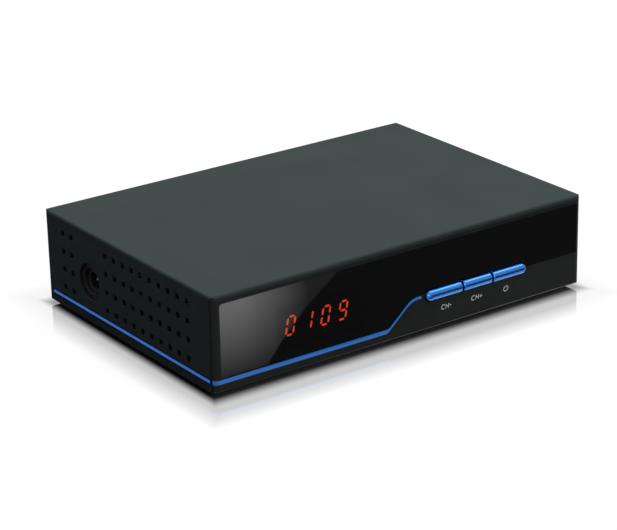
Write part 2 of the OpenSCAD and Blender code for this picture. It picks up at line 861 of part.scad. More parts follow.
// One key: bar, shank through the slot, collar behind the panel and post
module key(n) {
    span = key_spans[n];
    collar_x0 = span[0] - (n == 0 ? collar_w : 0);
    collar_x1 = span[1] + (n == 2 ? collar_w : 0);
    key_bar(n);
    lay(bar_y, collar_y) intersection() {
        capsule(bar_x0 + bar_r, bar_x1 - bar_r, bar_z, bar_r);
        rect([span[0], 0], [span[1], body_h]);
    }
    block([collar_x0, collar_y, bar_z - bar_r - collar_w],
          [collar_x1, collar_y + collar_t, bar_z + bar_r + collar_w]);
    rod_y([key_middle(n), bar_z], post_d, collar_y + collar_t, plunger_y);
}

function key_middle(n) = (key_spans[n][0] + key_spans[n][1]) / 2;

module key_channel_down() {
    color(key_blue) placed() key(0);
}

module key_channel_up() {
    color(key_blue) placed() key(1);
}

module key_power() {
    color(key_blue) placed() key(2);
}

// Plunger of the switch behind a key
module plunger(n) {
    rod_y([key_middle(n), bar_z], plunger_d, plunger_y, switch_y + plunger_in);
}

module plunger_channel_down() {
    color(part_white) placed() plunger(0);
}

module plunger_channel_up() {
    color(part_white) placed() plunger(1);
}

module plunger_power() {
    color(part_white) placed() plunger(2);
}

module key_switches() {
    bore_end = switch_y + plunger_in + key_travel + fit_gap;
    color(part_black) placed() for (n = [0 : 2]) difference() {
        lay(switch_y, front_board_y) translate([key_middle(n), bar_z]) square(switch_w, center = true);
        rod_y([key_middle(n), bar_z], plunger_d + 2 * fit_gap, switch_y - past, bore_end);
    }
}

module front_board() {
    color(board_green) placed() lay(front_board_y, front_board_y + board_t) difference() {
        rect([front_board_x0, front_board_z0], [front_board_x1, front_board_z1]);
        for (place = boss_places) translate(place) circle(d = tap_d + 2 * pass_gap);
    }
}

module front_board_screws() {
    seat = front_board_y + board_t;
    color(nickel) placed() for (place = boss_places) {
        rod_y(place, tap_d, front_board_y - boss_grip, seat);
        rod_y(place, tap_head_d, seat, seat + tap_head_h);
    }
}

// Front of the display, grown by g
module display_outline(g) {
    reach = [display_w / 2 + g, display_h / 2 + g];
    rect([display_x, display_z] - reach, [display_x, display_z] + reach);
}

// Point of a digit, leaned to the right with its height
function leaned(point) = [point.x + point.y * tan(digit_lean), point.y];

// One stroke of a digit, with pointed ends
module stroke(place, length, stands) {
    tip = stroke_w / 2;
    long = length / 2;
    points = [
        [-long, 0], [tip - long, tip], [long - tip, tip], [long, 0], [long - tip, -tip], [tip - long, -tip]
    ];
    polygon([for (p = points) leaned(place + (stands ? [p.y, p.x] : p))]);
}

// The strokes of all the digits that are lit (1) or dark (0)
module strokes(state) {
    for (d = [0 : digit_count - 1], n = [0 : 6])
        if (lit_strokes[shown_digits[d]][n] == state)
            translate([display_x + (d - (digit_count - 1) / 2) * digit_pitch, display_z])
                stroke(stroke_places[n], (stroke_stands[n] ? stroke_half : 2 * stroke_side) - stroke_gap,
                       stroke_stands[n]);
}

module display_module() {
    back = display_y + display_t;
    color(part_black) placed() {
        difference() {
            lay(display_y, back) display_outline(0);
            lay(display_y - past, display_y + stroke_t) {
                strokes(0);
                strokes(1);
            }
        }
        for (n = [0 : pin_count - 1], side = [-1, 1])
            rod_y([display_x + (n - (pin_count - 1) / 2) * pin_pitch, display_z + side * digit_h / 2], pin_d,
                  back, front_board_y);
    }
}

module lit_segments() {
    color(segment_red) placed() lay(display_y, display_y + stroke_t) strokes(1);
}

module dark_segments() {
    color(segment_grey) placed() lay(display_y, display_y + stroke_t) strokes(0);
}

module ir_receiver() {
    face = front_board_y - eye_t;
    lens_r = eye_lens_d / 2;
    color(part_black) placed() {
        lay(face, front_board_y) translate(eye_place) square([eye_w, eye_tall], center = true);
        rod_y(eye_place, eye_lens_d, face - eye_reach, face);
        intersection() {
            translate([eye_place.x, face - eye_reach, eye_place.y]) sphere(lens_r);
            lay(face - eye_reach - lens_r, face - eye_reach)
                translate(eye_place) square(eye_w, center = true);
        }
    }
}

module panel_header() {
    half = [header_w / 2, header_h / 2];
    color(part_white) placed()
        lay(front_board_y + board_t, header_rear) rect([lead_x, lead_z] - half, [lead_x, lead_z] + half);
}

module main_header() {
    color(part_white) placed()
        block([lead_x - header_w / 2, main_header_y - header_t / 2, board_top],
              [lead_x + header_w / 2, main_header_y + header_t / 2, board_top + header_h]);
}

// Ribbon out of the back of the front header, round a bend and down into the main header
module panel_lead() {
    bend_y = main_header_y - lead_r;
    bend_z = lead_z - lead_r;
    color(lead_grey) placed() across(lead_x - lead_w / 2, lead_x + lead_w / 2) {
        rect([lead_z - lead_t / 2, header_rear], [lead_z + lead_t / 2, bend_y]);
        rect([board_top + header_h, main_header_y - lead_t / 2], [bend_z, main_header_y + lead_t / 2]);
        intersection() {
            translate([bend_z, bend_y]) difference() {
                circle(lead_r + lead_t / 2);
                circle(lead_r - lead_t / 2);
            }
            rect([bend_z, bend_y], [bend_z + 2 * lead_r, bend_y + 2 * lead_r]);
        }
    }
}

module main_board() {
    color(board_green) placed() upright(board_z, board_top) difference() {
        rect([-board_half_w, board_front], [board_half_w, board_rear]);
        for (place = standoff_places) translate(place) circle(d = screw_d + 2 * pass_gap);
    }
}

module board_standoffs() {
    color(nickel) placed() for (place = standoff_places) difference() {
        union() {
            rod_z(place, standoff_d, sheet_t, board_z);
            rod_z(place, standoff_shank_d, 0, sheet_t);
        }
        rod_z(place, screw_d + 2 * thread_gap, sheet_t, board_z + past);
    }
}

module board_screws() {
    color(nickel) placed() for (place = standoff_places) {
        rod_z(place, screw_d, board_z - screw_grip, board_top);
        rod_z(place, head_d, board_top, board_top + head_h);
    }
}

// Flat part on the main board, from its middle
module board_block(place, size, lift = 0) {
    translate([place.x - size.x / 2, place.y - size.y / 2, board_top + lift]) cube(size);
}

module processor() {
    color(part_black) placed() board_block(chip_place, [chip_w, chip_w, chip_t]);
}

module thermal_pad() {
    pad_w = chip_w - 2 * pad_edge;
    color(part_white) placed() board_block(chip_place, [pad_w, pad_w, pad_t], chip_t);
}

module heatsink() {
    low = board_top + chip_t + pad_t;
    gap = (sink_w - fin_t) / (fin_count - 1);
    color(can_silver) placed() lay(chip_place.y - sink_w / 2, chip_place.y + sink_w / 2)
        translate([chip_place.x - sink_w / 2, low]) {
            square([sink_w, sink_base]);
            for (n = [0 : fin_count - 1]) translate([n * gap, 0]) square([fin_t, sink_h]);
        }
}

module memory_chips() {
    color(part_black) placed() for (place = memory_places) board_block(place, memory_size);
}

module capacitors() {
    color(can_silver) placed() for (x = can_xs) rod_z([x, can_y], can_d, board_top, board_top + can_h);
}

module inductors() {
    color(part_black) placed() for (x = can_xs) upright(board_top, board_top + coil_h)
        round_rect([x - coil_w / 2, coil_y - coil_w / 2], [x + coil_w / 2, coil_y + coil_w / 2], coil_r);
}

module crystal() {
    r = crystal_size.y / 2;
    long = crystal_size.x / 2 - r;
    color(nickel) placed() upright(board_top, board_top + crystal_size.z)
        capsule(crystal_place.x - long, crystal_place.x + long, crystal_place.y, r);
}

module dc_jack() {
    color(part_black) placed() difference() {
        union() {
            rod_x([inlet_y, inlet_z], inlet_collar_d, jack_x, jack_x + jack_collar_l);
            rod_x([inlet_y, inlet_z], jack_shoulder_d, jack_x + jack_step, jack_x + jack_collar_l);
            // Ring that fills the hole in the wall from behind
            difference() {
                rod_x([inlet_y, inlet_z], jack_ring_d, jack_ring_x, jack_x + jack_step);
                rod_x([inlet_y, inlet_z], jack_recess_d, jack_ring_x - past, jack_x + jack_step + past);
            }
            block([jack_x + jack_collar_l, inlet_y - jack_w / 2, board_top],
                  [jack_x + jack_l, inlet_y + jack_w / 2, board_top + jack_top]);
        }
        rod_x([inlet_y, inlet_z], inlet_bore_d, jack_x - past, jack_x + inlet_bore_l);
    }
}

module dc_pin() {
    color(nickel) placed() {
        rod_x([inlet_y, inlet_z], inlet_pin_d, jack_x + pin_short + inlet_pin_d / 2, jack_x + inlet_bore_l);
        translate([jack_x + pin_short + inlet_pin_d / 2, inlet_y, inlet_z]) sphere(d = inlet_pin_d);
    }
}

module tuner_can() {
    outer = [tuner_w, tuner_l];
    place = [tuner_x, tuner_rear - tuner_l / 2];
    color(can_silver) placed() upright(board_top, board_top + tuner_h) translate(place) difference() {
        square(outer, center = true);
        square(outer - 2 * [tuner_wall, tuner_wall], center = true);
    }
}

module tuner_lid() {
    color(steel) placed()
        board_block([tuner_x, tuner_rear - tuner_l / 2], [tuner_w, tuner_l, lid_t], tuner_h);
}

module antenna_socket() {
    place = [antenna_x, aerial_z];
    color(nickel) placed() difference() {
        rod_y(place, antenna_d, tuner_rear, rear_end);
        rod_y(place, antenna_bore, tuner_rear - past, rear_end + past);
    }
}

module antenna_core() {
    place = [antenna_x, aerial_z];
    color(part_white) placed() difference() {
        union() {
            rod_y(place, antenna_bore - 2 * fit_gap, tuner_rear, tuner_rear + core_l);
            rod_y(place, contact_d, tuner_rear + core_l, rear_end - core_short);
        }
        rod_y(place, aerial_pin_d + 2 * thread_gap, tuner_rear + core_l, rear_end);
    }
}

module loop_plug() {
    place = [loop_x, aerial_z];
    color(nickel) placed() difference() {
        union() {
            rod_y(place, shoulder_d, tuner_rear, body_d);
            rod_y(place, loop_d, body_d, rear_end);
        }
        rod_y(place, loop_bore, tuner_rear - past, rear_end + past);
    }
}

module loop_core() {
    place = [loop_x, aerial_z];
    tip = rear_end - core_short - aerial_pin_d / 2;
    color(nickel) placed() {
        rod_y(place, loop_bore - 2 * fit_gap, tuner_rear, tuner_rear + core_l);
        rod_y(place, aerial_pin_d, tuner_rear + core_l, tip);
        translate([place.x, tip, place.y]) sphere(d = aerial_pin_d);
    }
}

// HDMI outline, grown by g: wide above, drawn in below
module hdmi_outline(g) {
    top = hdmi_h / 2 + g;
    wide = hdmi_w / 2 + g;
    foot = hdmi_foot_w / 2 + g;
    translate([hdmi_mid, hdmi_z])
        polygon([
            [-wide, top], [wide, top], [wide, -hdmi_step], [foot, -top], [-foot, -top], [-wide, -hdmi_step]
        ]);
}

module usb_outline(g) {
    translate([usb_mid, usb_z]) square([usb_w + 2 * g, usb_h + 2 * g], center = true);
}

module hdmi_shell() {
    front = socket_rear - hdmi_l;
    color(nickel) placed() difference() {
        lay(front, socket_rear) hdmi_outline(shell_t);
        lay(front + shell_back_t, socket_rear + past) hdmi_outline(0);
    }
}

module hdmi_tongue() {
    front = socket_rear - hdmi_l + shell_back_t;
    color(part_black) placed() lay(front, socket_rear - tongue_short)
        translate([hdmi_mid, hdmi_z]) square(hdmi_tongue_size, center = true);
}

module usb_shell() {
    front = socket_rear - usb_l;
    color(nickel) placed() difference() {
        lay(front, socket_rear) usb_outline(shell_t);
        lay(front + shell_back_t, socket_rear + past) usb_outline(0);
    }
}

module usb_tongue() {
    front = socket_rear - usb_l + shell_back_t;
    color(part_white) placed() lay(front, socket_rear - tongue_short)
        translate([usb_mid, usb_z + usb_h / 2 - usb_tongue_drop]) square(usb_tongue_size, center = true);
}

// SCART outline, moved inwards by inset, with its slanted lower corner
module scart_outline(inset) {
    wide = scart_w / 2 - inset;
    tall = scart_h / 2 - inset;
    translate([scart_mid, scart_z])
        polygon([
            [-wide, tall], [wide, tall], [wide, -tall],
            [scart_slant - wide, -tall], [-wide, scart_slant - tall]
        ]);
}

module scart_housing() {
    color(part_black) placed() difference() {
        lay(scart_front, scart_rear) scart_outline(0);
        lay(scart_rear - scart_depth, scart_rear + past) difference() {
            scart_outline(scart_wall);
            scart_outline(scart_wall + scart_channel);
        }
        lay(scart_rear - scart_depth, scart_rear + past)
            for (place = scart_places) translate(place) square(scart_slot, center = true);
    }
}

module scart_contacts() {
    front = scart_rear - scart_depth;
    color(nickel) placed() lay(front, scart_rear - scart_blade_short)
        for (place = scart_places) translate(place) square(scart_blade, center = true);
}

module spdif_body() {
    place = [spdif_x, spdif_z];
    color(audio_orange) placed() difference() {
        union() {
            block([spdif_x - spdif_w / 2, spdif_face - spdif_l, board_top],
                  [spdif_x + spdif_w / 2, spdif_face, spdif_z + spdif_w / 2]);
            rod_y(place, spdif_core_d, spdif_face, spdif_end - spdif_core_short);
        }
        rod_y(place, spdif_bore, spdif_end - spdif_bore_l, spdif_end + past);
    }
}

module spdif_ring() {
    place = [spdif_x, spdif_z];
    color(nickel) placed() difference() {
        rod_y(place, spdif_d, spdif_face, spdif_end);
        rod_y(place, spdif_core_d + 2 * thread_gap, spdif_face - past, spdif_end + past);
    }
}

top_cover();
base_tray();
rubber_feet();
cover_screws();
front_bezel();
front_window();
front_trim();
side_trim();
key_channel_down();
key_channel_up();
key_power();
plunger_channel_down();
plunger_channel_up();
plunger_power();
key_switches();
front_board();
front_board_screws();
display_module();
lit_segments();
dark_segments();
ir_receiver();
panel_header();
main_header();
panel_lead();
main_board();
board_standoffs();
board_screws();
processor();
thermal_pad();
heatsink();
memory_chips();
capacitors();
inductors();
crystal();
dc_jack();
dc_pin();
tuner_can();
tuner_lid();
antenna_socket();
antenna_core();
loop_plug();
loop_core();
hdmi_shell();
hdmi_tongue();
usb_shell();
usb_tongue();
scart_housing();
scart_contacts();
spdif_body();
spdif_ring();
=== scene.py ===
"""Looks of the set-top box: soft edges, finishes, printed legends, fasteners, contacts, studio and camera."""

import logging
import math
from dataclasses import dataclass
from enum import Enum
from functools import cache
from typing import ClassVar, Sequence

import bmesh
import bpy
from mathutils import Matrix, Vector


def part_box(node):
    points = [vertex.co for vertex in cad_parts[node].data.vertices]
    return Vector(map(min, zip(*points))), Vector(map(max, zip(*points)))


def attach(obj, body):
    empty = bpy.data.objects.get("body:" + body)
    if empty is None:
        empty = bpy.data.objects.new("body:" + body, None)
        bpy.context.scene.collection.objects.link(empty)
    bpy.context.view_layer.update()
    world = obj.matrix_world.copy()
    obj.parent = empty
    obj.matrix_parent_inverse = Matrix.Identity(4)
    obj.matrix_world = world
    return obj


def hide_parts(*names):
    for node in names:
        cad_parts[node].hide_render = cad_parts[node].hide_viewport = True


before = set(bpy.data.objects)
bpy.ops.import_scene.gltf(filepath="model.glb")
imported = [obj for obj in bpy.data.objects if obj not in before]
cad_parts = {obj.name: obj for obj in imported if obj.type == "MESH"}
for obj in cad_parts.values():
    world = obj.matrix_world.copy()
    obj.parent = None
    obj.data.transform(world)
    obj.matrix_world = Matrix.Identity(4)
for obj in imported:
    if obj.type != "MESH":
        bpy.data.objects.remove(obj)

LOG = logging.getLogger("receiver")
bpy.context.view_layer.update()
MM = 0.001
WELD = 0.0005 * MM
QUARTER = math.pi / 2
UNIT = (0.0, 1.0)
WHITE = (1.0, 1.0, 1.0)
COVER_LOW, COVER_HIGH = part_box("top_cover")
FRONT_Y = COVER_LOW.y
UNDERSIDE_Z = COVER_LOW.z

Color = tuple[float, float, float]
Point = tuple[float, float, float]
Pair = tuple[float, float]
Mesh = bpy.types.Mesh
Object = bpy.types.Object
Outputs = bpy.types.bpy_prop_collection
Shape = bmesh.types.BMesh
Socket = bpy.types.NodeSocket
Tree = bpy.types.NodeTree


class Body(str, Enum):
    """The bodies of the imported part."""

    CASE = "case"
    CHANNEL_DOWN = "channel_down"
    CHANNEL_UP = "channel_up"
    POWER = "power"


class Along(Enum):
    """The direction in which a metal is drawn or brushed, as the stretch of its streaks on each axis."""

    WIDTH = (0.04, 1.0, 1.0)
    DEPTH = (1.0, 0.04, 1.0)


class Shader:
    """Short calls for the nodes of a material, a node group or a Geometry Nodes tree."""

    def __init__(self, tree: Tree) -> None:
        """Keeps the tree that the calls add to."""
        self.tree = tree

    def put(self, socket: Socket, value: object) -> None:
        """Links a socket to an output, or gives it a plain value.

        Args:
            socket: the input.
            value: an output, a colour of three channels, or whatever else the input takes.
        """
        if isinstance(value, Socket):
            self.tree.links.new(value, socket)
        elif socket.type == "RGBA":
            socket.default_value = (*value, 1.0)
        else:
            socket.default_value = value

    def node(self, kind: str, inputs: dict[str | int, object] | None = None,
             **settings: object) -> bpy.types.Node:
        """Adds a node.

        Args:
            kind: Blender's name for the node type.
            inputs: what its inputs get, by name or number.
            settings: properties of the node.

        Returns:
            The new node.
        """
        made = self.tree.nodes.new(kind)
        for name, value in settings.items():
            setattr(made, name, value)
        for key, value in (inputs or {}).items():
            self.put(made.inputs[key], value)
        return made

    def out(self, kind: str, inputs: dict[str | int, object] | None = None, **settings: object) -> Socket:
        """Adds a node as node does, and returns its first output."""
        return self.node(kind, inputs, **settings).outputs[0]

    def group(self, tree: Tree, **values: object) -> Socket:
        """Places a node group with values for its inputs, and returns its first output."""
        return self.out("ShaderNodeGroup", values, node_tree=tree)

    def math(self, operation: str, first: object, second: object = 0.0) -> Socket:
        """Adds a Math node and returns its result."""
        return self.out("ShaderNodeMath", {0: first, 1: second}, operation=operation)

    def noise(self, vector: Socket, scale: object, detail: float) -> Socket:
        """Adds a Noise Texture and returns its value."""
        return self.out("ShaderNodeTexNoise", {"Vector": vector, "Scale": scale, "Detail": detail})

    def remap(self, value: object, source: Sequence[object], target: Sequence[object]) -> Socket:
        """Maps a value from one range to another, clamped, and returns the result."""
        return self.out("ShaderNodeMapRange", dict(enumerate((value, *source, *target))))

    def blend(self, factor: object, first: object, second: object, kind: str = "MIX") -> Socket:
        """Mixes two colours and returns the result."""
        # A Mix node's colours go in at 6 and 7 and come out at 2
        inputs = {0: factor, 6: first, 7: second}
        return self.node("ShaderNodeMix", inputs, data_type="RGBA", blend_type=kind).outputs[2]

    def shade(self, color: object, level: Socket) -> Socket:
        """Multiplies a colour by a level and returns the result."""
        return self.blend(1.0, color, level, "MULTIPLY")

    def place(self) -> Socket:
        """Object coordinates, in metres in the part's frame."""
        return self.node("ShaderNodeTexCoord").outputs["Object"]

    def axis(self, vector: Socket, letter: str) -> Socket:
        """One axis of a vector."""
        return self.node("ShaderNodeSeparateXYZ", {0: vector}).outputs[letter]

    def edge(self) -> Socket:
        """The piece's own attribute "edge", which is 1 on its rounding or rim."""
        return self.node("ShaderNodeAttribute", attribute_name="edge").outputs["Fac"]

    def beyond(self, low: Vector, high: Vector, axes: str) -> list[Socket]:
        """Distance outside a box along some axes, negative inside it.

        Args:
            low: lowest corner of the box.
            high: highest corner of the box.
            axes: letters of the axes.

        Returns:
            One distance for each axis.
        """
        found = []
        for letter in axes:
            number = "XYZ".index(letter)
            middle, half = (low[number] + high[number]) / 2, (high[number] - low[number]) / 2
            away = self.math("SUBTRACT", self.axis(self.place(), letter), middle)
            found.append(self.math("SUBTRACT", self.math("ABSOLUTE", away), half))
        return found

    def matt(self, level: float) -> Socket:
        """A matt grey surface."""
        return self.out("ShaderNodeBsdfDiffuse", {"Color": (level, level, level)})

    def mix(self, factor: Socket, first: Socket, second: Socket) -> Socket:
        """Mixes two surfaces and returns the result."""
        return self.out("ShaderNodeMixShader", {0: factor, 1: first, 2: second})


class Effects:
    """Shader node groups that more than one finish uses, each made once. Sizes are in millimetres."""

    COARSE_SHARE = 0.65
    FINER = 2.7
    CLOUD_SPAN = (0.3, 0.7)
    RUB_SIZE = 6.25
    RUB_SPAN = (0.35, 0.65)
    RUB_LEVELS = (0.25, 1.0)

    @staticmethod
    def start(name: str, inputs: str, output: str) -> tuple[Tree, Shader, dict[str, Socket]]:
        """Makes an empty group.

        Args:
            name: the group's name.
            inputs: names of its inputs, of which Vector is a vector and each other one is a value.
            output: name of its one output, a value.

        Returns:
            The group, the calls for its nodes, and its inputs by name with the output under the key "out".
        """
        tree = bpy.data.node_groups.new(name, "ShaderNodeTree")
        for given in inputs.split():
            kind = "NodeSocketVector" if given == "Vector" else "NodeSocketFloat"
            tree.interface.new_socket(given, in_out="INPUT", socket_type=kind)
        tree.interface.new_socket(output, in_out="OUTPUT", socket_type="NodeSocketFloat")
        shader = Shader(tree)
        ends = {socket.name: socket for socket in shader.node("NodeGroupInput").outputs if socket.name}
        ends["out"] = shader.node("NodeGroupOutput").inputs[0]
        return tree, shader, ends

    @staticmethod
    @cache
    def grain() -> Tree:
        """Fine two-scale grain: the height of powder coat, spark-eroded moulds and cast skins.

        Returns:
            The group.
        """
        tree, shader, ends = Effects.start("fine_grain", "Vector Size", "Height")
        scale = shader.math("DIVIDE", 1 / MM, ends["Size"])
        coarse = shader.noise(ends["Vector"], scale, detail=3.0)
        finer = shader.math("MULTIPLY", scale, Effects.FINER)
        fine = shader.noise(ends["Vector"], finer, detail=1.0)
        shares = (Effects.COARSE_SHARE, 1 - Effects.COARSE_SHARE)
        weighed = [shader.math("MULTIPLY", *pair) for pair in zip((coarse, fine), shares)]
        shader.put(ends["out"], shader.math("ADD", *weighed))
        return tree

    @staticmethod
    @cache
    def cloud() -> Tree:
        """Slow variation over the surface, between two values.

        Returns:
            The group.
        """
        tree, shader, ends = Effects.start("slow_cloud", "Vector Size Low High", "Value")
        scale = shader.math("DIVIDE", 1 / MM, ends["Size"])
        soft = shader.noise(ends["Vector"], scale, detail=4.0)
        shader.put(ends["out"], shader.remap(soft, Effects.CLOUD_SPAN, (ends["Low"], ends["High"])))
        return tree

    @staticmethod
    @cache
    def rub() -> Tree:
        """Broken-up mask of the edges that hands and cartons have rubbed, from an edge mask.

        Returns:
            The group.
        """
        tree, shader, ends = Effects.start("rubbed_edges", "Vector Edge Amount", "Mask")
        patches = shader.noise(ends["Vector"], 1 / (Effects.RUB_SIZE * MM), detail=5.0)
        broken = shader.remap(patches, Effects.RUB_SPAN, Effects.RUB_LEVELS)
        worn = shader.math("MULTIPLY", shader.math("MULTIPLY", broken, ends["Edge"]), ends["Amount"])
        shader.put(ends["out"], worn)
        return tree

    @staticmethod
    @cache
    def streaks() -> Tree:
        """Long thin streaks of drawn or brushed metal, on coordinates that are stretched along the grain.

        Returns:
            The group.
        """
        tree, shader, ends = Effects.start("metal_streaks", "Vector Size", "Height")
        scale = shader.math("DIVIDE", 1 / MM, ends["Size"])
        shader.put(ends["out"], shader.noise(ends["Vector"], scale, detail=4.0))
        return tree


@dataclass(frozen=True)
class Finish:
    """A procedural surface.

    Sizes are in millimetres. The colour varies by shade, the roughness runs between two values, a grain of
    the given size and relief stands in the bump, and soft edges are lighter by wear.
    """

    ROUGH_CLOUD: ClassVar[float] = 0.6
    WORN_GAIN: ClassVar[float] = 2.2
    WORN_LIFT: ClassVar[float] = 0.03

    name: str
    color: Color
    rough: Pair = (0.4, 0.5)
    shade: float = 0.1
    cloud: float = 18.0
    grain: float = 0.25
    relief: float = 0.003
    wear: float = 0.0
    metallic: float = 0.0
    specular: float = 0.5
    coat: float = 0.0
    coat_rough: float = 0.06

    @cache
    def material(self) -> bpy.types.Material:
        """Builds the material at its first use.

        Returns:
            The material.
        """
        made = bpy.data.materials.new(f"look_{self.name}")
        made.use_nodes = True
        shader = Shader(made.node_tree)
        principled = made.node_tree.nodes["Principled BSDF"]
        vector = shader.place()
        low, high = self.rough
        rough = shader.group(Effects.cloud(), Vector=vector, Size=self.cloud * self.ROUGH_CLOUD,
                             Low=low, High=high)
        relief = {"Distance": self.relief * MM, "Height": self.height(shader, vector)}
        bump = shader.node("ShaderNodeBump", relief)
        given = {"Metallic": self.metallic, "Specular IOR Level": self.specular, "Coat Weight": self.coat,
                 "Coat Roughness": self.coat_rough, "Base Color": self.colored(shader, vector),
                 "Roughness": rough, "Normal": bump.outputs[0]}
        for name, value in given.items():
            shader.put(principled.inputs[name], value)
        self.extras(shader, principled, vector)
        return made

    def lighter(self, gain: float, lift: float = 0.0) -> Color:
        """The colour made lighter by a gain and a lift."""
        return tuple(min(1.0, channel * gain + lift) for channel in self.color)

    def colored(self, shader: Shader, vector: Socket) -> Socket:
        """Colour that varies slowly and is lighter on rubbed edges.

        Args:
            shader: the calls for the material's nodes.
            vector: Object coordinates.

        Returns:
            The colour.
        """
        level = shader.group(Effects.cloud(), Vector=vector, Size=self.cloud,
                             Low=1 - self.shade, High=1 + self.shade)
        varied = shader.shade(self.color, level)
        if not self.wear:
            return varied
        mask = shader.group(Effects.rub(), Vector=vector, Edge=shader.edge(), Amount=self.wear)
        return shader.blend(mask, varied, self.lighter(self.WORN_GAIN, self.WORN_LIFT))

    def height(self, shader: Shader, vector: Socket) -> Socket:
        """Height of the surface's own grain."""
        return shader.group(Effects.grain(), Vector=vector, Size=self.grain)

    def extras(self, shader: Shader, principled: bpy.types.Node, vector: Socket) -> None:
        """Adds what only a special finish has."""


@dataclass(frozen=True)
class Lacquer(Finish):
    """Metallic lacquer: fine bright flakes under a clear coat, and painted shade that darkens its rim where
    it has one.
    """

    flake: float = 0.09
    sparkle: float = 0.35
    # How far painted shade darkens the rim, the gap round an inlaid line
    rim: float = 0.0

    def colored(self, shader: Shader, vector: Socket) -> Socket:
        """Colour with flakes of uneven brightness, and painted shade that darkens the rim.

        Args:
            shader: the calls for the material's nodes.
            vector: Object coordinates.

        Returns:
            The colour.
        """
        base = super().colored(shader, vector)
        cells = shader.node("ShaderNodeTexVoronoi", {"Vector": vector, "Scale": 1 / (self.flake * MM)})
        bright = shader.remap(cells.outputs["Color"], UNIT, (1 - self.sparkle, 1 + self.sparkle))
        flaked = shader.shade(base, bright)
        if not self.rim:
            return flaked
        # Painted shade: the rim in the gap round the line is darkened
        return shader.shade(flaked, shader.remap(shader.edge(), UNIT, (1.0, 1 - self.rim)))

    def extras(self, shader: Shader, principled: bpy.types.Node, vector: Socket) -> None:
        """Takes the metal out of the rim, as part of its painted shade."""
        if self.rim:
            shader.put(principled.inputs["Metallic"], shader.remap(shader.edge(), UNIT, (self.metallic, 0.0)))


@dataclass(frozen=True)
class Metal(Finish):
    """Plated or drawn metal with streaks along one direction."""

    metallic: float = 1.0
    along: Along = Along.WIDTH

    def height(self, shader: Shader, vector: Socket) -> Socket:
        """Height of the streaks."""
        stretched = shader.out("ShaderNodeMapping", {"Vector": vector, "Scale": self.along.value})
        return shader.group(Effects.streaks(), Vector=stretched, Size=self.grain)


@dataclass(frozen=True)
class SolderMask(Finish):
    """Circuit board: green mask over raised tracks in fields, with tinned pads in a scatter."""

    # Scale of a wave texture that has one band to the unit
    WAVE: ClassVar[float] = 0.314

    field: float = 11.0
    pitch: float = 1.27
    track: Pair = (0.55, 0.75)
    track_gain: float = 1.9
    pad: Color = (0.62, 0.6, 0.55)
    pad_pitch: float = 3.2
    pad_share: float = 0.17

    def tracks(self, shader: Shader, vector: Socket) -> Socket:
        """Mask of the tracks: fields of parallel lines, which change direction from field to field.

        Args:
            shader: the calls for the material's nodes.
            vector: Object coordinates.

        Returns:
            1 on a track and 0 beside it.
        """
        fields = shader.node("ShaderNodeTexVoronoi", {"Vector": vector, "Scale": 1 / (self.field * MM)},
                             distance="CHEBYCHEV")
        turn = shader.math("GREATER_THAN", fields.outputs["Color"], 0.5)
        bands = {"Vector": vector, "Scale": self.WAVE / (self.pitch * MM)}
        across, along = (shader.node("ShaderNodeTexWave", bands, bands_direction=axis).outputs["Fac"]
                         for axis in "XY")
        lines = shader.remap(turn, UNIT, (across, along))
        return shader.remap(lines, self.track, UNIT)

    def colored(self, shader: Shader, vector: Socket) -> Socket:
        """Mask colour, lighter over tracks, with the pads.

        Args:
            shader: the calls for the material's nodes.
            vector: Object coordinates.

        Returns:
            The colour.
        """
        base = super().colored(shader, vector)
        green = shader.blend(self.tracks(shader, vector), base, self.lighter(self.track_gain))
        dots = shader.node("ShaderNodeTexVoronoi", {"Vector": vector, "Scale": 1 / (self.pad_pitch * MM)})
        pads = shader.math("LESS_THAN", dots.outputs["Distance"], self.pad_share)
        return shader.blend(pads, green, self.pad)

    def height(self, shader: Shader, vector: Socket) -> Socket:
        """Height of the tracks under the mask."""
        return self.tracks(shader, vector)


@dataclass(frozen=True)
class PowderCoat(Finish):
    """Powder coat with painted shade, which darkens its colour along the lip at the front."""

    lip: float = 1.5
    lip_painted_shade: float = 0.35

    def colored(self, shader: Shader, vector: Socket) -> Socket:
        """Colour with painted shade that darkens towards the front edge.

        Args:
            shader: the calls for the material's nodes.
            vector: Object coordinates.

        Returns:
            The colour.
        """
        # Painted shade: the colour darkens over the lip's depth towards the front edge
        span = (FRONT_Y, FRONT_Y + self.lip * MM)
        level = shader.remap(shader.axis(vector, "Y"), span, (1 - self.lip_painted_shade, 1.0))
        return shader.shade(super().colored(shader, vector), level)


@dataclass(frozen=True)
class Moulded(Finish):
    """Moulded plastic with a painted highlight: a light band along its lower edge, which fades towards the
    left.
    """

    highlight_z: float = 0.42
    highlight_w: float = 0.3
    highlight_color: Color = (0.6, 0.61, 0.59)
    highlight_span: Pair = (-50.0, 50.0)
    highlight_share: Pair = (0.1, 1.0)

    def colored(self, shader: Shader, vector: Socket) -> Socket:
        """Colour with the painted highlight along the lower edge.

        Args:
            shader: the calls for the material's nodes.
            vector: Object coordinates.

        Returns:
            The colour.
        """
        # Painted highlight: a light band just above the underside stands in for light caught by the lower
        # edge, brighter to the right
        middle = UNDERSIDE_Z + self.highlight_z * MM
        away = shader.math("ABSOLUTE", shader.math("SUBTRACT", shader.axis(vector, "Z"), middle))
        span = [place * MM for place in self.highlight_span]
        share = shader.remap(shader.axis(vector, "X"), span, self.highlight_share)
        mask = shader.remap(away, (0.0, self.highlight_w * MM), (share, 0.0))
        return shader.blend(mask, super().colored(shader, vector), self.highlight_color)


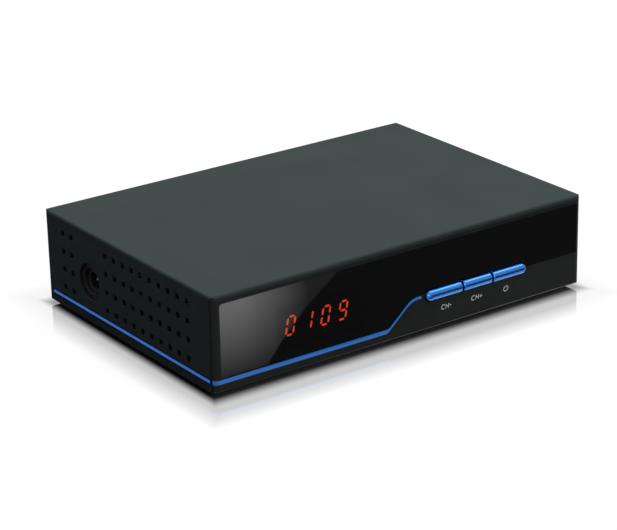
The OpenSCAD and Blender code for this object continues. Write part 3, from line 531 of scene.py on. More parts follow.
@dataclass(frozen=True)
class Smoked(Finish):
    """Polished smoked plastic that lets a little of the light behind it through."""

    cover: float = 0.88
    margin: float = 2.0
    blur: float = 2.0

    def extras(self, shader: Shader, principled: bpy.types.Node, vector: Socket) -> None:
        """Lets the display shine through, where the back of the window isn't printed black.

        Args:
            shader: the calls for the material's nodes.
            principled: the material's own shader.
            vector: Object coordinates, not used.
        """
        outside = shader.math("MAXIMUM", *shader.beyond(*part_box("display_module"), "XZ"))
        span = (self.margin * MM, (self.margin + self.blur) * MM)
        shader.put(principled.inputs["Alpha"], shader.remap(outside, span, (self.cover, 1.0)))


@dataclass(frozen=True)
class Glow(Finish):
    """Lit diffuser of a display segment: bright to the eye through the window, with little spill inside."""

    strength: float = 52.0
    spill: float = 0.2
    patch: float = 1.6
    uneven: Pair = (0.75, 1.1)

    def extras(self, shader: Shader, principled: bpy.types.Node, vector: Socket) -> None:
        """Makes the colour shine, unevenly as the chip behind it does.

        Args:
            shader: the calls for the material's nodes.
            principled: the material's own shader.
            vector: Object coordinates.
        """
        low, high = self.uneven
        level = shader.group(Effects.cloud(), Vector=vector, Size=self.patch, Low=low, High=high)
        shader.put(principled.inputs["Emission Color"], shader.shade(self.color, level))
        seen = shader.node("ShaderNodeLightPath").outputs["Is Camera Ray"]
        strength = shader.remap(seen, UNIT, (self.spill, self.strength))
        shader.put(principled.inputs["Emission Strength"], strength)


class Finishes:
    """Every finish of the part."""

    CASE_PAINT = PowderCoat("case_paint", (0.044, 0.0625, 0.0598), (0.64, 0.72), 0.04, 40.0, 0.3, 0.005, 0.12,
                            specular=0.05)
    PANEL = Moulded("panel_plastic", (0.0112, 0.0124, 0.012), (0.5, 0.58), 0.06, 25.0, 0.16, 0.004, 0.1,
                    specular=0.115)
    WINDOW = Smoked("window", (0.0032, 0.0036, 0.0036), (0.02, 0.045), 0.1, 30.0, 9.0, 0.0003)
    ACCENT = Lacquer("accent_lacquer", (0.03, 0.29, 1.0), (0.34, 0.4), 0.05, relief=0.0008, metallic=0.05,
                     coat=0.1, sparkle=0.06, rim=0.97)
    STRIP = Lacquer("strip_lacquer", (0.04, 0.15, 0.52), (0.24, 0.28), 0.04, relief=0.0005, metallic=0.85,
                    specular=0.02, sparkle=0.05, rim=0.97)
    KEY = Lacquer("key_lacquer", (0.009, 0.165, 0.58), (0.2, 0.23), 0.03, relief=0.0002, wear=0.1,
                  metallic=0.95, coat=0.75, coat_rough=0.1, sparkle=0.03)
    LIT = Glow("segment_lit", (0.9, 0.062, 0.016), (0.4, 0.5), grain=0.1)
    UNLIT = Finish("segment_unlit", (0.03, 0.026, 0.025), (0.4, 0.5), grain=0.1)
    BLACK_MOULD = Finish("black_moulding", (0.018, 0.018, 0.019), (0.38, 0.5), 0.12, 9.0, 0.12, 0.004)
    WHITE_MOULD = Finish("white_moulding", (0.68, 0.66, 0.6), (0.35, 0.45), 0.06, 9.0, 0.12, 0.003)
    ORANGE_MOULD = Finish("orange_moulding", (0.72, 0.2, 0.02), (0.35, 0.45), 0.08, 9.0, 0.12, 0.003)
    RIBBON = Finish("ribbon_grey", (0.36, 0.36, 0.38), (0.45, 0.55), 0.08, 6.0, 0.2, 0.004)
    BOARD = SolderMask("board_mask", (0.012, 0.085, 0.04), (0.22, 0.34), 0.1, 20.0, relief=0.03)
    NICKEL = Metal("nickel_plate", (0.66, 0.63, 0.57), (0.2, 0.3), 0.06, 8.0, 0.06, 0.0012, along=Along.DEPTH)
    ZINC = Metal("screw_zinc", (0.5, 0.5, 0.51), (0.42, 0.52), 0.08, 3.0, 0.1, 0.0015)
    # Dark pin: painted shade of the jack's recess, in place of a bright nickel pin's reflections
    SHADED_PIN = Metal("pin_steel", (0.16, 0.16, 0.17), (0.35, 0.45), 0.06, 4.0, 0.06, 0.001)
    TIN = Metal("tin_plate", (0.6, 0.6, 0.6), (0.28, 0.4), 0.08, 15.0, 0.2, 0.002)
    ALUMINIUM = Metal("plain_aluminium", (0.62, 0.62, 0.64), (0.3, 0.42), 0.06, 10.0, 0.15, 0.003,
                      along=Along.DEPTH)
    GOLD = Metal("contact_gold", (0.83, 0.62, 0.24), (0.16, 0.24), 0.05, 3.0, 0.04, 0.0008, along=Along.DEPTH)
    RUBBER = Finish("foot_rubber", (0.016, 0.016, 0.017), (0.68, 0.82), 0.15, 8.0, 0.35, 0.02, specular=0.3)
    PRINT = Finish("legend_ink", (0.93, 0.95, 0.93), (0.55, 0.65), 0.06, 2.0, 0.08, 0.002, specular=0.3)


def link(name: str, data: bpy.types.ID) -> Object:
    """Adds an object for a mesh, a lamp or a camera to the scene.

    Args:
        name: name of the object.
        data: the mesh, lamp or camera.

    Returns:
        The object.
    """
    made = bpy.data.objects.new(name, data)
    bpy.context.scene.collection.objects.link(made)
    return made


def settle(made: Object) -> None:
    """Turns an object and its modifiers into a plain mesh.

    Args:
        made: the object.
    """
    evaluated = made.evaluated_get(bpy.context.evaluated_depsgraph_get())
    plain = bpy.data.meshes.new_from_object(evaluated)
    made.modifiers.clear()
    made.data = plain


def smooth(mesh: Mesh, angle: float = 30.0) -> None:
    """Shades a mesh smoothly, apart from edges sharper than the angle in degrees."""
    mesh.polygons.foreach_set("use_smooth", [True] * len(mesh.polygons))
    mesh.set_sharp_from_angle(angle=math.radians(angle))


def coat(made: Object, finish: Finish) -> None:
    """Gives an object one finish in place of all its materials."""
    made.data.materials.clear()
    made.data.materials.append(finish.material())


def report(made: Object, body: Body = Body.CASE) -> None:
    """Lets a finished piece ride on its body, and logs it."""
    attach(made, body.value)
    LOG.info("%s on %s: %d faces", made.name, body.value, len(made.data.polygons))


def stand_in(made: Object, node: str, body: Body = Body.CASE) -> None:
    """Puts a finished piece in the place of a CAD node, which it hides.

    Args:
        made: the piece.
        node: the CAD node.
        body: the body that carries it.
    """
    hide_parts(node)
    report(made, body)


def dress(finish: Finish, *nodes: str) -> None:
    """Gives CAD nodes their finish where their shape stays.

    Args:
        finish: what the nodes are made of.
        nodes: the CAD nodes.
    """
    for node in nodes:
        coat(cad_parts[node], finish)
        LOG.info("%s in %s", node, finish.name)


def merged(node: str) -> Shape:
    """Copies a CAD node's loose triangles into one skin.

    Args:
        node: the CAD node.

    Returns:
        The skin.
    """
    shape = bmesh.new()
    shape.from_mesh(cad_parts[node].data)
    bmesh.ops.remove_doubles(shape, verts=shape.verts[:], dist=WELD)
    return shape


def meshed(shape: Shape, name: str, outwards: bool = True) -> Mesh:
    """Turns a shape into a mesh.

    Args:
        shape: the shape, which is used up.
        name: name of the mesh.
        outwards: whether the faces are turned outwards first.

    Returns:
        The mesh.
    """
    if outwards:
        bmesh.ops.recalc_face_normals(shape, faces=shape.faces[:])
    mesh = bpy.data.meshes.new(name)
    shape.to_mesh(mesh)
    shape.free()
    return mesh


def loft(shape: Shape, rings: Sequence[Sequence[bmesh.types.BMVert]]) -> None:
    """Joins rings of corners into a closed skin with a face on each end.

    Args:
        shape: the shape that gets the faces.
        rings: the rings, with their corners in the same order.
    """
    for first, second in zip(rings, rings[1:]):
        for n in range(len(first)):
            after = (n + 1) % len(first)
            shape.faces.new((first[n], first[after], second[after], second[n]))
    shape.faces.new(rings[0][::-1])
    shape.faces.new(rings[-1])


def quarter_turn(steps: int) -> list[float]:
    """Angles from 0 to a quarter turn, in radians."""
    return [QUARTER * step / steps for step in range(steps + 1)]


def solids_of(node: str) -> list[tuple[Vector, Vector]]:
    """Finds the separate solids of a CAD node.

    Args:
        node: the CAD node.

    Returns:
        Lowest and highest corner of each solid, in metres.
    """
    shape = merged(node)
    found, seen = [], set()
    for start in shape.verts:
        if start in seen:
            continue
        island, waiting = [], [start]
        seen.add(start)
        while waiting:
            here = waiting.pop()
            island.append(here.co.copy())
            beside = {edge.other_vert(here) for edge in here.link_edges} - seen
            seen |= beside
            waiting += beside
        found.append((Vector(map(min, zip(*island))), Vector(map(max, zip(*island)))))
    shape.free()
    return found


@dataclass(frozen=True)
class SoftEdges:
    """Rounds the edges of a CAD node off, as paint, moulding and deburring leave them.

    The copy stands for the node. Its point attribute "edge" is 1 on the rounding and 0 elsewhere. Sizes are
    in millimetres and angles in degrees.
    """

    width: float
    segments: int = 2
    angle: float = 35.0
    flat: float = 0.5

    def copy(self, node: str, finish: Finish, body: Body = Body.CASE) -> None:
        """Makes the rounded copy of a node.

        Args:
            node: the CAD node.
            finish: what the copy is made of.
            body: the body that carries it.
        """
        made = link(f"{node}_soft", self.welded(node))
        bevel = made.modifiers.new("edges", "BEVEL")
        bevel.width = self.width * MM
        bevel.segments = self.segments
        bevel.limit_method = "ANGLE"
        bevel.angle_limit = math.radians(self.angle)
        bevel.material = 1
        made.modifiers.new("normals", "WEIGHTED_NORMAL").keep_sharp = True
        made.data.materials.append(finish.material())
        made.data.materials.append(finish.material())
        settle(made)
        self.mark(made.data)
        coat(made, finish)
        stand_in(made, node, body)

    def welded(self, node: str) -> Mesh:
        """Copies a node into one closed skin with whole flat faces.

        Args:
            node: the CAD node.

        Returns:
            The skin.
        """
        shape = merged(node)
        bmesh.ops.dissolve_limit(shape, angle_limit=math.radians(self.flat), verts=shape.verts[:],
                                 edges=shape.edges[:], delimit=set())
        mesh = meshed(shape, f"{node}_soft", outwards=False)
        normals = mesh.attributes.get("custom_normal")
        if normals:
            mesh.attributes.remove(normals)
        smooth(mesh, self.angle)
        return mesh

    @staticmethod
    def mark(mesh: Mesh) -> None:
        """Writes the attribute "edge" from the faces of the rounding, and gives every face one material.

        Args:
            mesh: the mesh, whose rounding has the second material.
        """
        edge = [0.0] * len(mesh.vertices)
        for face in mesh.polygons:
            if face.material_index == 1:
                for corner in face.vertices:
                    edge[corner] = 1.0
            face.material_index = 0
        mesh.attributes.new("edge", "FLOAT", "POINT").data.foreach_set("value", edge)


@dataclass(frozen=True)
class Bead(SoftEdges):
    """Gives the outer skin of an inlaid line a shadow gap and a crown: each step is a width and a rise.

    The point attribute "edge" is 1 below the crown and 0 on it. Where ridge is more than 0, the crown rises
    by it to a ridge along its length, at a share of its height. Faces that look left or forwards by more
    than the share facing belong to the skin.
    """

    crease: float = 60.0
    ridge: float = 0.0
    ridge_at: float = 0.4
    facing: float = 0.5
    steps: tuple[Pair, ...] = ((0.08, -0.3), (0.04, 0.36), (0.35, 0.06))

    def copy(self, node: str, finish: Finish, body: Body = Body.CASE) -> None:
        """Makes the crowned copy of a node.

        Args:
            node: the CAD node.
            finish: what the copy is made of.
            body: the body that carries it.
        """
        made = link(f"{node}_bead", self.welded(node))
        shape = bmesh.new()
        shape.from_mesh(made.data)
        edge = shape.verts.layers.float.new("edge")
        skin = [face for face in shape.faces if self.outside(face)]
        crown = set()
        for width, rise in self.steps:
            bmesh.ops.inset_region(shape, faces=skin, thickness=width * MM, depth=rise * MM,
                                   use_boundary=True, use_even_offset=True)
            if rise > 0:
                crown.update(corner for face in skin for corner in face.verts)
        if self.ridge:
            crown.update(self.raised(shape, skin))
        for corner in shape.verts:
            corner[edge] = 0.0 if corner in crown else 1.0
        shape.to_mesh(made.data)
        shape.free()
        smooth(made.data, self.crease)
        coat(made, finish)
        stand_in(made, node, body)

    def raised(self, shape: Shape, skin: list[bmesh.types.BMFace]) -> list[bmesh.types.BMVert]:
        """Splits the crown at the left wall along its length and lifts the split line into a ridge.

        Args:
            shape: the mesh.
            skin: the faces of the crown.

        Returns:
            The corners on the ridge.
        """
        corners = {corner for face in skin for corner in face.verts}
        low = min(corner.co.z for corner in corners)
        high = max(corner.co.z for corner in corners)
        parts = [*corners, *{edge for face in skin for edge in face.edges}, *skin]
        cut = bmesh.ops.bisect_plane(shape, geom=parts, plane_co=(0, 0, low + (high - low) * self.ridge_at),
                                     plane_no=(0, 0, 1))["geom_cut"]
        ridge = [part for part in cut if isinstance(part, bmesh.types.BMVert)]
        for corner in ridge:
            corner.co.x -= self.ridge * MM
        return ridge

    def outside(self, face: bmesh.types.BMFace) -> bool:
        """Whether a face lies in the outer skin of the case, in front, at the left or round the corner.

        Args:
            face: the face.

        Returns:
            True in the outer skin.
        """
        middle = face.calc_center_median()
        left = -face.normal.x > self.facing and middle.x - COVER_LOW.x < self.width * MM
        front = -face.normal.y > self.facing and middle.y - FRONT_Y < self.width * MM
        return left or front


class NodesTree:
    """A Geometry Nodes tree with named inputs, which ends in a plain mesh of one finish."""

    NAME: ClassVar[str]
    INPUTS: ClassVar[dict[str, str]]

    @classmethod
    @cache
    def tree(cls) -> Tree:
        """Builds the tree at its first use.

        Returns:
            The tree.
        """
        tree = bpy.data.node_groups.new(cls.NAME, "GeometryNodeTree")
        for socket, kind in cls.INPUTS.items():
            tree.interface.new_socket(socket, in_out="INPUT", socket_type=f"NodeSocket{kind}")
        tree.interface.new_socket("Geometry", in_out="OUTPUT", socket_type="NodeSocketGeometry")
        calls = Shader(tree)
        given = calls.node("NodeGroupInput").outputs
        real = calls.out("GeometryNodeRealizeInstances", {"Geometry": cls.copies(calls, given)})
        finished = calls.out("GeometryNodeSetMaterial", {"Geometry": real, "Material": given["Finish"]})
        calls.node("NodeGroupOutput", {0: finished})
        return tree

    @classmethod
    def copies(cls, calls: Shader, given: Outputs) -> Socket:
        """Makes the instances that the tree makes real."""
        raise NotImplementedError

    @classmethod
    def run(cls, made: Object, settings: dict[str, object], finish: Finish) -> None:
        """Runs the tree on an object and keeps the result as a plain mesh.

        Args:
            made: the object, whose mesh goes in.
            settings: values of the tree's inputs, by name.
            finish: what the result is made of.
        """
        modifier = made.modifiers.new("nodes", "NODES")
        modifier.node_group = cls.tree()
        items = modifier.node_group.interface.items_tree
        keys = {item.name: item.identifier for item in items if item.in_out == "INPUT"}
        for socket, value in {**settings, "Finish": finish.material()}.items():
            modifier[keys[socket]] = value
        settle(made)
        coat(made, finish)


class Repeat(NodesTree):
    """Geometry Nodes tree that sets one shape on each point of a mesh, turned as the point says."""

    NAME = "shape_on_points"
    INPUTS = {"Points": "Geometry", "Shape": "Object", "Spin": "Vector", "Seed": "Int", "Finish": "Material"}

    @classmethod
    def copies(cls, calls: Shader, given: Outputs) -> Socket:
        """Sets the shape on the points, turned by their attribute "turn" and then spun at random.

        Args:
            calls: the calls for the tree's nodes.
            given: the tree's inputs.

        Returns:
            The instances.
        """
        shape = calls.node("GeometryNodeObjectInfo", {"Object": given["Shape"]}).outputs["Geometry"]
        turn = calls.node("GeometryNodeInputNamedAttribute", {"Name": "turn"}, data_type="FLOAT_VECTOR")
        spans = {"Min": (0.0, 0.0, 0.0), "Max": given["Spin"], "Seed": given["Seed"]}
        spin = calls.out("FunctionNodeRandomValue", spans, data_type="FLOAT_VECTOR")
        both = [calls.out("FunctionNodeEulerToRotation", {0: euler})
                for euler in (turn.outputs["Attribute"], spin)]
        turned = calls.out("FunctionNodeRotateRotation", dict(enumerate(both)), rotation_space="LOCAL")
        return calls.out("GeometryNodeInstanceOnPoints",
                         {"Points": given["Points"], "Instance": shape, "Rotation": turned})

    @classmethod
    def along(cls, name: str, shape: Mesh, places: Sequence[Point], turns: Sequence[Point], finish: Finish,
              spin: Point = (0.0, 0.0, 0.0)) -> Object:
        """Sets copies of a shape at places.

        Args:
            name: name of the piece.
            shape: what is repeated, drawn at the origin.
            places: where the copies go, in metres.
            turns: how each copy is turned, in radians about the three axes.
            finish: what the copies are made of.
            spin: largest random turn of a copy about its own axes, in radians.

        Returns:
            The copies as one object with a plain mesh.
        """
        points = bpy.data.meshes.new(f"{name}_points")
        points.from_pydata([tuple(place) for place in places], [], [])
        flat = [value for turn in turns for value in turn]
        points.attributes.new("turn", "FLOAT_VECTOR", "POINT").data.foreach_set("vector", flat)
        carried = link(f"{name}_shape", shape)
        made = link(name, points)
        cls.run(made, {"Shape": carried, "Spin": spin, "Seed": len(places)}, finish)
        bpy.data.objects.remove(carried)
        return made


class Ribbon(NodesTree):
    """Geometry Nodes tree that lays round wires side by side along a path, each a little into the next."""

    NAME = "wires_on_path"
    INPUTS = {"Path": "Geometry", "Wires": "Int", "Start": "Vector", "Step": "Vector", "Radius": "Float",
              "Finish": "Material"}
    SIDES = 10
    RADIUS_SHARE = 0.51
    CREASE = 50.0

    @classmethod
    def copies(cls, calls: Shader, given: Outputs) -> Socket:
        """Lays one wire along the path and repeats it across the ribbon.

        Args:
            calls: the calls for the tree's nodes.
            given: the tree's inputs.

        Returns:
            The instances.
        """
        path = calls.out("GeometryNodeMeshToCurve", {"Mesh": given["Path"]})
        outline = calls.out("GeometryNodeCurvePrimitiveCircle",
                            {"Resolution": cls.SIDES, "Radius": given["Radius"]})
        wire = calls.out("GeometryNodeCurveToMesh",
                         {"Curve": path, "Profile Curve": outline, "Fill Caps": True})
        one = calls.out("GeometryNodeGeometryToInstance", {0: wire})
        row = {"Count": given["Wires"], "Start Location": given["Start"], "Offset": given["Step"]}
        line = calls.out("GeometryNodeMeshLine", row, mode="OFFSET")
        return calls.out("GeometryNodeInstanceOnPoints", {"Points": line, "Instance": one})

    @classmethod
    def along(cls, name: str, path: Sequence[Point], width: float, thick: float, finish: Finish) -> Object:
        """Lays the wires of a ribbon.

        Args:
            name: name of the piece.
            path: points that the middle of the ribbon follows, in metres.
            width: width of the ribbon across X, in metres.
            thick: thickness of the ribbon, in metres.
            finish: what the wires are made of.

        Returns:
            The wires as one object with a plain mesh.
        """
        line = bpy.data.meshes.new(f"{name}_path")
        line.from_pydata(list(path), [(n, n + 1) for n in range(len(path) - 1)], [])
        made = link(name, line)
        wires = round(width / thick)
        pitch = width / wires
        settings = {"Wires": wires, "Start": ((pitch - width) / 2, 0.0, 0.0), "Step": (pitch, 0.0, 0.0),
                    "Radius": pitch * cls.RADIUS_SHARE}
        cls.run(made, settings, finish)
        smooth(made.data, cls.CREASE)
        return made


def lathe(name: str, profile: Sequence[Pair], steps: int = 40) -> Mesh:
    """Turns a profile about the Z axis.

    Args:
        name: name of the mesh.
        profile: points (radius, height) in millimetres from one end of the axis to the other.
        steps: number of flats around.

    Returns:
        The closed mesh.
    """
    shape = bmesh.new()
    chain = [shape.verts.new((radius * MM, 0, height * MM)) for radius, height in profile]
    edges = [shape.edges.new(pair) for pair in zip(chain, chain[1:])]
    bmesh.ops.spin(shape, geom=chain + edges, cent=(0, 0, 0), axis=(0, 0, 1), angle=math.tau,
                   steps=steps, use_merge=True)
    bmesh.ops.remove_doubles(shape, verts=shape.verts[:], dist=WELD)
    mesh = meshed(shape, name)
    smooth(mesh)
    return mesh


@dataclass(frozen=True)
class Screw:
    """Pan-head screw with a cross recess, drawn with its seat at z = 0 and its head upwards.

    Sizes are in millimetres. The head's rim stands at a share of its height. The recess reaches shares of the
    head's radius at its foot and where its blade ends, above the head.
    """

    head_d: float
    head_h: float
    thread_d: float
    thread_l: float
    pitch: float = 0.5
    recess_w: float = 0.75
    recess_deep: float = 1.1
    foot_share: float = 0.3
    top_share: float = 0.68
    top_h: float = 1.3
    rim_share: float = 0.45
    thread_deep: float = 0.18
    tip_l: float = 0.6
    crown_steps: int = 6

    def replace(self, node: str, name: str, upright: bool) -> None:
        """Sets this screw in the place of each plain screw of a node.

        Args:
            node: the CAD node.
            name: name of the piece.
            upright: whether the heads face up, or to the rear.
        """
        places = []
        for low, high in solids_of(node):
            middle = (low + high) / 2
            if upright:
                places.append((middle.x, middle.y, high.z - self.head_h * MM))
            else:
                places.append((middle.x, high.y - self.head_h * MM, middle.z))
        turn = (0.0, 0.0, 0.0) if upright else (-QUARTER, 0.0, 0.0)
        spin = (0.0, 0.0, QUARTER)
        made = Repeat.along(name, self.mesh(), places, [turn] * len(places), Finishes.ZINC, spin)
        stand_in(made, node)

    def mesh(self) -> Mesh:
        """Turns head and thread from a profile, and cuts the recess.

        Returns:
            The screw.
        """
        made = link("screw_blank", lathe("screw_blank", self.profile()))
        cutter = link("screw_cutter", self.cross())
        cut = made.modifiers.new("recess", "BOOLEAN")
        cut.object = cutter
        cut.solver = "EXACT"
        settle(made)
        mesh = made.data
        smooth(mesh)
        for spent in (made, cutter):
            bpy.data.objects.remove(spent)
        return mesh

    def profile(self) -> list[Pair]:
        """Profile from the crown of the head to the tip of the thread.

        Returns:
            Points (radius, height).
        """
        radius, outer = self.head_d / 2, self.thread_d / 2
        inner, domed = outer - self.thread_deep, 1 - self.rim_share
        crown = [(radius * math.sin(angle), self.head_h * (self.rim_share + domed * math.cos(angle)))
                 for angle in quarter_turn(self.crown_steps)]
        turns = int((self.thread_l - self.tip_l) / self.pitch)
        thread = []
        for turn in range(turns):
            depth = -turn * self.pitch
            thread += [(inner, depth), (outer, depth - self.pitch / 2)]
        tip = [(inner, -turns * self.pitch), (outer / 2, -self.thread_l), (0.0, -self.thread_l)]
        return [*crown, (radius, 0.0), *thread, *tip]

    def cross(self) -> Mesh:
        """A cross-shaped blade that tapers towards its foot.

        Returns:
            The blade, as one closed solid.
        """
        shape = bmesh.new()
        half = self.recess_w / 2
        foot, top = self.head_h - self.recess_deep, self.head_h * self.top_h
        rings = []
        for height, share in ((foot, self.foot_share), (top, self.top_share)):
            reach = self.head_d / 2 * share
            arm = [Vector((x, y, height)) for x, y in ((reach, -half), (reach, half), (half, half))]
            turns = [Matrix.Rotation(quarter * QUARTER, 3, "Z") for quarter in range(4)]
            rings.append([shape.verts.new((turn @ corner) * MM) for turn in turns for corner in arm])
        loft(shape, rings)
        return meshed(shape, "screw_cutter", outwards=False)


@dataclass
class Case:
    """Painted sheet-steel cover and tray, their screws and the rubber feet. Sizes are in millimetres."""

    edge: float = 0.14
    screw: Screw = Screw(5.4, 1.8, 2.6, 4.0)
    foot_round: float = 0.6
    foot_steps: int = 4
    foot_flats: int = 48
    groove_at: Pair = (0.35, 0.65)
    groove_w: float = 0.5
    groove_deep: float = 0.3

    def build(self) -> None:
        """Makes and dresses every piece of the case."""
        SoftEdges(self.edge).copy("top_cover", Finishes.CASE_PAINT)
        SoftEdges(self.edge).copy("base_tray", Finishes.CASE_PAINT)
        self.screw.replace("cover_screws", "cover_screw_set", upright=False)
        self.feet()

    def feet(self) -> None:
        """Sets the four feet, each with rounded edges and grip rings underneath."""
        solids = solids_of("rubber_feet")
        low, high = solids[0]
        profile = self.foot_profile((high.x - low.x) / 2 / MM, (high.z - low.z) / MM)
        shape = lathe("foot", profile, self.foot_flats)
        places = [((low.x + high.x) / 2, (low.y + high.y) / 2, low.z) for low, high in solids]
        made = Repeat.along("rubber_foot_set", shape, places, [(0, 0, 0)] * len(places), Finishes.RUBBER)
        stand_in(made, "rubber_feet")

    def foot_profile(self, radius: float, tall: float) -> list[Pair]:
        """Profile of a foot: two grip rings, a rounded edge, and the glued face on top.

        Args:
            radius: radius of the foot.
            tall: its height.

        Returns:
            Points (radius, height).
        """
        rings = []
        half, deep, edge = self.groove_w / 2, self.groove_deep, self.foot_round
        for middle in (radius * share for share in self.groove_at):
            rings += [(middle - half, 0.0), (middle - half / 2, deep)]
            rings += [(middle + half / 2, deep), (middle + half, 0.0)]
        rounding = [(radius - edge + edge * math.sin(angle), edge - edge * math.cos(angle))
                    for angle in quarter_turn(self.foot_steps)]
        return [(0.0, 0.0), *rings, *rounding, (radius, tall), (0.0, tall)]


@dataclass(frozen=True)
class Stroke:
    """One pen stroke of a printed sign, in sign heights: an arc of an ellipse, or a line."""

    start: Pair
    end: Pair = (0.0, 0.0)
    radii: Pair = (0.0, 0.0)
    sweep: Pair = (0.0, 0.0)
    steps: int = 28

    def points(self) -> list[Pair]:
        """Points along the stroke.

        Returns:
            The two ends of a line, or the points of an arc.
        """
        if not self.radii[0]:
            return [self.start, self.end]
        (x, y), (wide, tall), (first, last) = self.start, self.radii, self.sweep
        angles = [math.radians(first + (last - first) * n / self.steps) for n in range(self.steps + 1)]
        return [(x + wide * math.cos(angle), y + tall * math.sin(angle)) for angle in angles]


class Sign(Enum):
    """Printed control signs, as strokes about the sign's middle, in heights."""

    CHANNEL_DOWN = (
        Stroke((-0.8, 0.0), radii=(0.4, 0.46), sweep=(48, 312)),
        Stroke((-0.14, -0.46), (-0.14, 0.46)),
        Stroke((0.52, -0.46), (0.52, 0.46)),
        Stroke((-0.14, 0.0), (0.52, 0.0)),
        Stroke((0.8, 0.0), (1.16, 0.0)),
    )
    CHANNEL_UP = (
        *CHANNEL_DOWN[:4],
        Stroke((0.78, 0.0), (1.42, 0.0)),
        Stroke((1.1, -0.32), (1.1, 0.32)),
    )
    POWER = (
        Stroke((0.0, -0.06), radii=(0.54, 0.54), sweep=(124, 416)),
        Stroke((0.0, 0.1), (0.0, 0.62)),
    )


@dataclass
class FrontPanel:
    """Moulded panel with its window, accent line and printed control signs. Sizes are in millimetres."""

    edge: float = 0.12
    bead: float = 1.0
    strip_crease: float = 30.0
    strip_ridge: float = 0.5
    sign_h: float = 1.9
    sign_z: float = 7.1
    sign_pitch: float = 14.2
    sign_shift: float = 0.35
    sign_lean: float = 0.16
    pen: float = 0.3
    ink: float = 0.02

    def build(self) -> None:
        """Makes and dresses every piece of the panel."""
        SoftEdges(self.edge).copy("front_bezel", Finishes.PANEL)
        SoftEdges(self.edge / 2).copy("front_window", Finishes.WINDOW)
        Bead(self.bead).copy("front_trim", Finishes.ACCENT)
        Bead(self.bead, crease=self.strip_crease, ridge=self.strip_ridge).copy("side_trim", Finishes.STRIP)
        low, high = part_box("key_channel_up")
        for n, sign in enumerate(Sign, -1):
            self.print_sign(sign, (low.x + high.x) / 2 + (self.sign_shift + n * self.sign_pitch) * MM)

    def print_sign(self, sign: Sign, middle: float) -> None:
        """Prints a sign on the panel.

        Args:
            sign: which sign.
            middle: its middle across the panel, in metres.
        """
        name = f"sign_{sign.name.lower()}"
        shape = bmesh.new()
        for stroke in sign.value:
            self.draw(shape, stroke, middle)
        made = link(name, meshed(shape, name))
        coat(made, Finishes.PRINT)
        report(made)

    def draw(self, shape: Shape, stroke: Stroke, middle: float) -> None:
        """Adds one stroke as a thin raised band with square ends.

        Args:
            shape: the mesh that gets the band.
            stroke: the stroke.
            middle: the sign's middle across the panel, in metres.
        """
        line = [Vector(point) * self.sign_h for point in stroke.points()]
        rings = []
        for n, point in enumerate(line):
            way = (line[min(n + 1, len(line) - 1)] - line[max(n - 1, 0)]).normalized()
            side = Vector((-way.y, way.x)) * self.pen / 2
            ring = []
            for offset, depth in ((side, 0.0), (side, -self.ink), (-side, -self.ink), (-side, 0.0)):
                spot = point + offset
                spot.x += spot.y * self.sign_lean
                ring.append(shape.verts.new((middle + spot.x * MM, FRONT_Y + depth * MM,
                                             UNDERSIDE_Z + (self.sign_z + spot.y) * MM)))
            rings.append(ring)
        loft(shape, rings)


@dataclass
class KeyRow:
    """The three lacquered keys and the plungers of their switches. Sizes are in millimetres."""

    edge: float = 0.22

    def build(self) -> None:
        """Makes and dresses the keys, each on its own body."""
        for body in (Body.CHANNEL_DOWN, Body.CHANNEL_UP, Body.POWER):
            SoftEdges(self.edge).copy(f"key_{body.value}", Finishes.KEY, body)
            dress(Finishes.WHITE_MOULD, f"plunger_{body.value}")
        dress(Finishes.BLACK_MOULD, "key_switches")


@dataclass
class Display:
    """Four-digit display and the remote-control eye."""

    def build(self) -> None:
        """Dresses the display behind the window."""
        dress(Finishes.BLACK_MOULD, "display_module", "ir_receiver")
        dress(Finishes.LIT, "lit_segments")
        dress(Finishes.UNLIT, "dark_segments")


@dataclass(frozen=True)
class ContactRow:
    """Gilt contact strips on a socket's tongue, with a bent-down rear tip each. Sizes are in millimetres.

    A side is 1 for strips on the tongue's upper face and -1 for strips on its lower face.
    """

    name: str
    tongue: str
    wide: float
    long: float
    thick: float
    pitch: float
    count: int
    sides: tuple[int, ...]
    back: float = 0.6
    tip_share: float = 0.4
    tip_l: float = 3.0

    def build(self) -> None:
        """Lays the strips."""
        low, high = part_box(self.tongue)
        middle = (low.x + high.x) / 2
        rear = high.y - (self.back + self.long / 2) * MM
        places, turns = [], []
        for side in self.sides:
            for n in range(self.count):
                across = (n - (self.count - 1) / 2) * self.pitch * MM
                places.append((middle + across, rear, high.z if side > 0 else low.z))
                turns.append((0.0, 0.0 if side > 0 else math.pi, 0.0))
        report(Repeat.along(self.name, self.strip(), places, turns, Finishes.GOLD))

    def strip(self) -> Mesh:
        """One strip, on z = 0.

        Returns:
            The strip.
        """
        wide, long, thick = self.wide * MM, self.long * MM, self.thick * MM
        outline = [(-long / 2, 0.0), (long / 2, 0.0), (long / 2, thick * self.tip_share),
                   (long / 2 - self.tip_l * thick, thick), (-long / 2, thick)]
        shape = bmesh.new()
        loft(shape, [[shape.verts.new((x, y, z)) for y, z in outline] for x in (-wide / 2, wide / 2)])
        return meshed(shape, "contact_strip")


